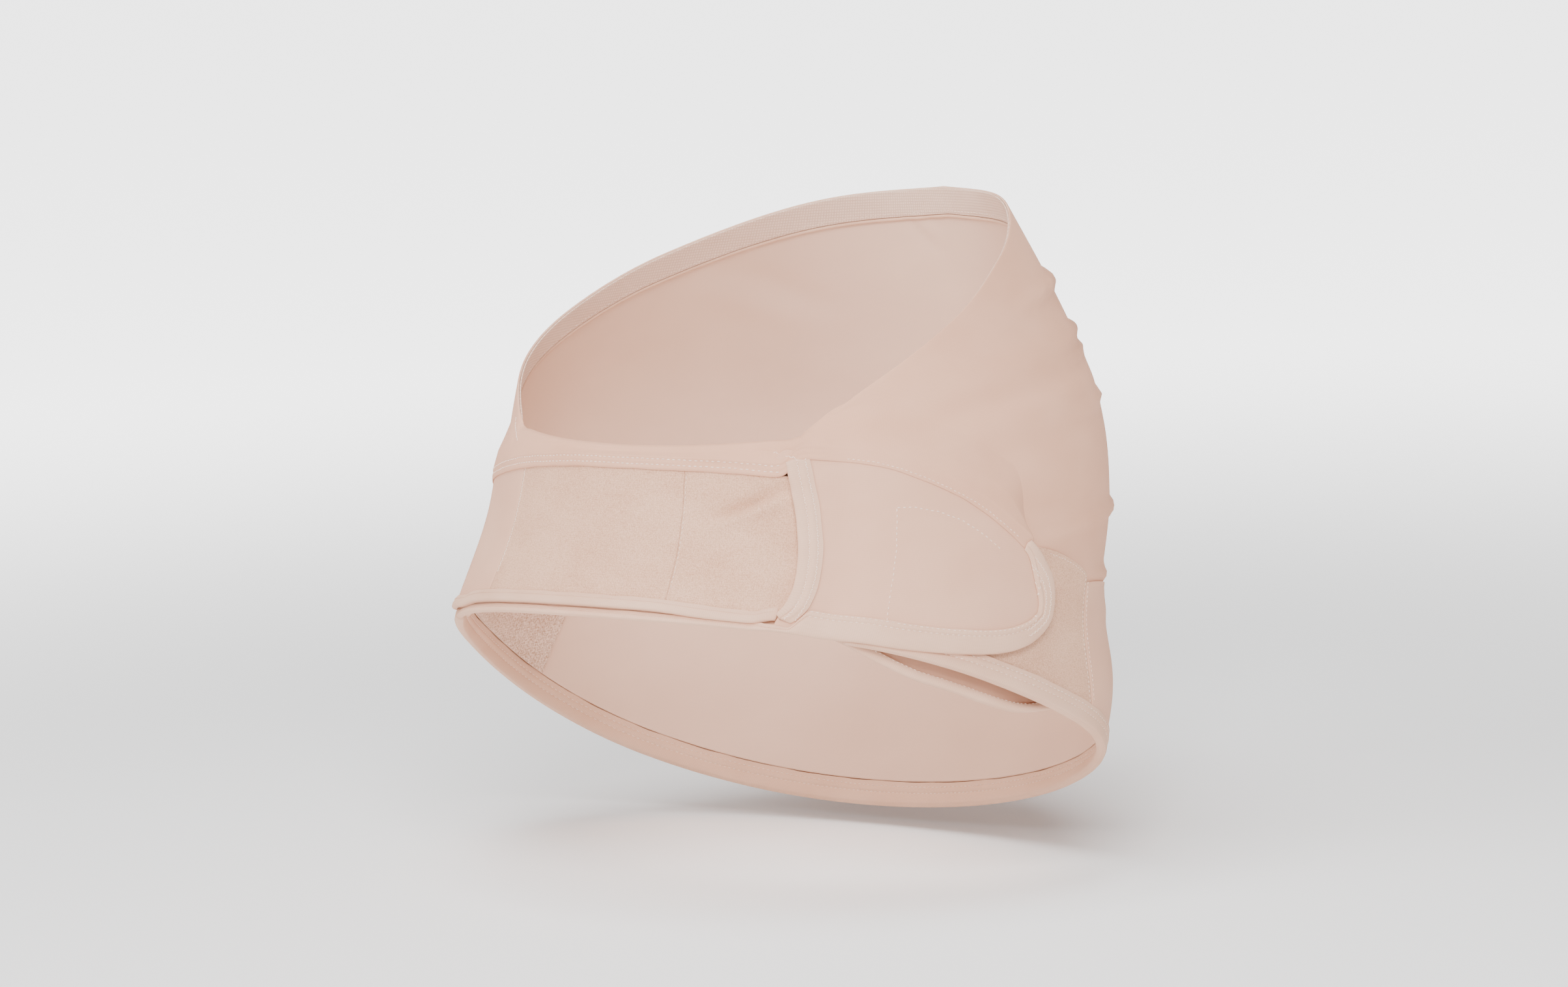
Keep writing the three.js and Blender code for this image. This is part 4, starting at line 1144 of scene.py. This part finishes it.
rowTree = stitchTree()
for seed, (name, look) in enumerate(stitchRows.items()):
    guide = addObject(name + "Guide", rowGuide(name + "Guide", look["rows"]))
    modifier = guide.modifiers.new("stitchRow", "NODES")
    modifier.node_group = rowTree
    values = {"Pitch": look["pitch"] / 1000, "Thread": look["thread"] / 1000, "Zigzag": look["zigzag"],
              "Wander": 0.00012, "Seed": seed, "Material": materials["texturedThread"]}
    for item in rowTree.interface.items_tree:
        if item.name in values:
            modifier[item.identifier] = values[item.name]
    bpy.context.view_layer.update()
    finished = guide.evaluated_get(bpy.context.evaluated_depsgraph_get())
    mesh = bpy.data.meshes.new_from_object(finished)
    mesh.name = name
    bpy.data.objects.remove(guide)
    piece = addObject(name, mesh)
    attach(piece, "root")
    pieces[name] = piece
    print("stitches:", name, len(mesh.polygons))

# Stage, light and camera

stageLook = {"floorHeight": -124, "floorReach": 40000, "floor": "#FFFFFF", "nearGlow": 0.05, "farGlow": 3.2,
             "glowStart": 500, "glowEnd": 2200, "sky": "#FFFFFF", "skyStrength": 0.32}

floorMesh = bpy.data.meshes.new("paleFloor")
reach = stageLook["floorReach"] / 1000
corners = [(reach * math.cos(turn / 24 * math.pi), reach * math.sin(turn / 24 * math.pi),
            stageLook["floorHeight"] / 1000) for turn in range(48)]
floorMesh.from_pydata(corners, [], [list(range(48))])
floor = addObject("paleFloor", floorMesh)
# a white floor with a painted glow of its own, dim near the object as painted shade under it and brighter
# away from it, so it reads as a white backdrop; the glow also lights the object
floorMaterial, floorTree, floorShader = startMaterial("paintedGlowFloor")
floorPlace = addNode(floorTree, "ShaderNodeTexCoord").outputs["Object"]
floorAway = addNode(floorTree, "ShaderNodeVectorMath", {0: floorPlace}, operation="LENGTH").outputs["Value"]
floorGlow = addNode(floorTree, "ShaderNodeMapRange", {
    "Value": floorAway, "From Min": stageLook["glowStart"] / 1000, "From Max": stageLook["glowEnd"] / 1000,
    "To Min": stageLook["nearGlow"], "To Max": stageLook["farGlow"]}, interpolation_type="SMOOTHSTEP")
fill(floorTree, floorShader, {
    "Emission Strength": floorGlow, "Base Color": linear(stageLook["floor"]), "Roughness": 0.9,
    "Emission Color": linear(stageLook["floor"])})
floorMesh.materials.append(floorMaterial)

world = bpy.data.worlds.new("studio")
world.use_nodes = True
fill(world.node_tree, world.node_tree.nodes["Background"],
     {"Color": linear(stageLook["sky"]), "Strength": stageLook["skyStrength"]})
bpy.context.scene.world = world


def addSoftbox(name, place, size, watts):
    light = bpy.data.lights.new(name, "AREA")
    light.shape = "RECTANGLE"
    light.size, light.size_y = size
    light.energy = watts
    box = addObject(name, light)
    box.location = Vector(place)
    box.rotation_euler = (Vector((0, 0, 0.05)) - box.location).to_track_quat("-Z", "Y").to_euler()


addSoftbox("keySoftbox", (1.75, -1.9, 1.95), (1.6, 1.4), 114)
addSoftbox("sideSoftbox", (-1.2, -2.4, 1.5), (1.6, 1.4), 44)
addSoftbox("overheadSoftbox", (-0.1, -0.5, 2.7), (1.8, 1.8), 72)

cameraSizes = {"azimuth": 39.38, "elevation": 8.02, "roll": -2.65, "distance": 2744, "sideways": -5.26,
               "height": 55.7, "pixelsPerMillimetre": 3.113, "pictureWidth": 2408,
               "sensorWidth": 36}

azimuth, elevation = math.radians(cameraSizes["azimuth"]), math.radians(cameraSizes["elevation"])
back = Vector((math.sin(azimuth) * math.cos(elevation), -math.cos(azimuth) * math.cos(elevation),
               math.sin(elevation)))
right = Vector((math.cos(azimuth), math.sin(azimuth), 0))
up = back.cross(right)
roll = math.radians(cameraSizes["roll"])
rightTurned = right * math.cos(roll) + up * math.sin(roll)
upTurned = up * math.cos(roll) - right * math.sin(roll)
aim = right * cameraSizes["sideways"] + Vector((0, 0, cameraSizes["height"]))
eye = (aim + back * cameraSizes["distance"]) / 1000
camera = bpy.data.cameras.new("camera")
camera.sensor_width = cameraSizes["sensorWidth"]
framed = cameraSizes["pictureWidth"] / cameraSizes["pixelsPerMillimetre"]
camera.lens = cameraSizes["sensorWidth"] * cameraSizes["distance"] / framed
camera.clip_end = 60
cameraObject = addObject("camera", camera)
facing = Matrix((rightTurned, upTurned, back)).transposed().to_4x4()
cameraObject.matrix_world = Matrix.Translation(eye) @ facing
bpy.context.scene.camera = cameraObject
print("stage: set")
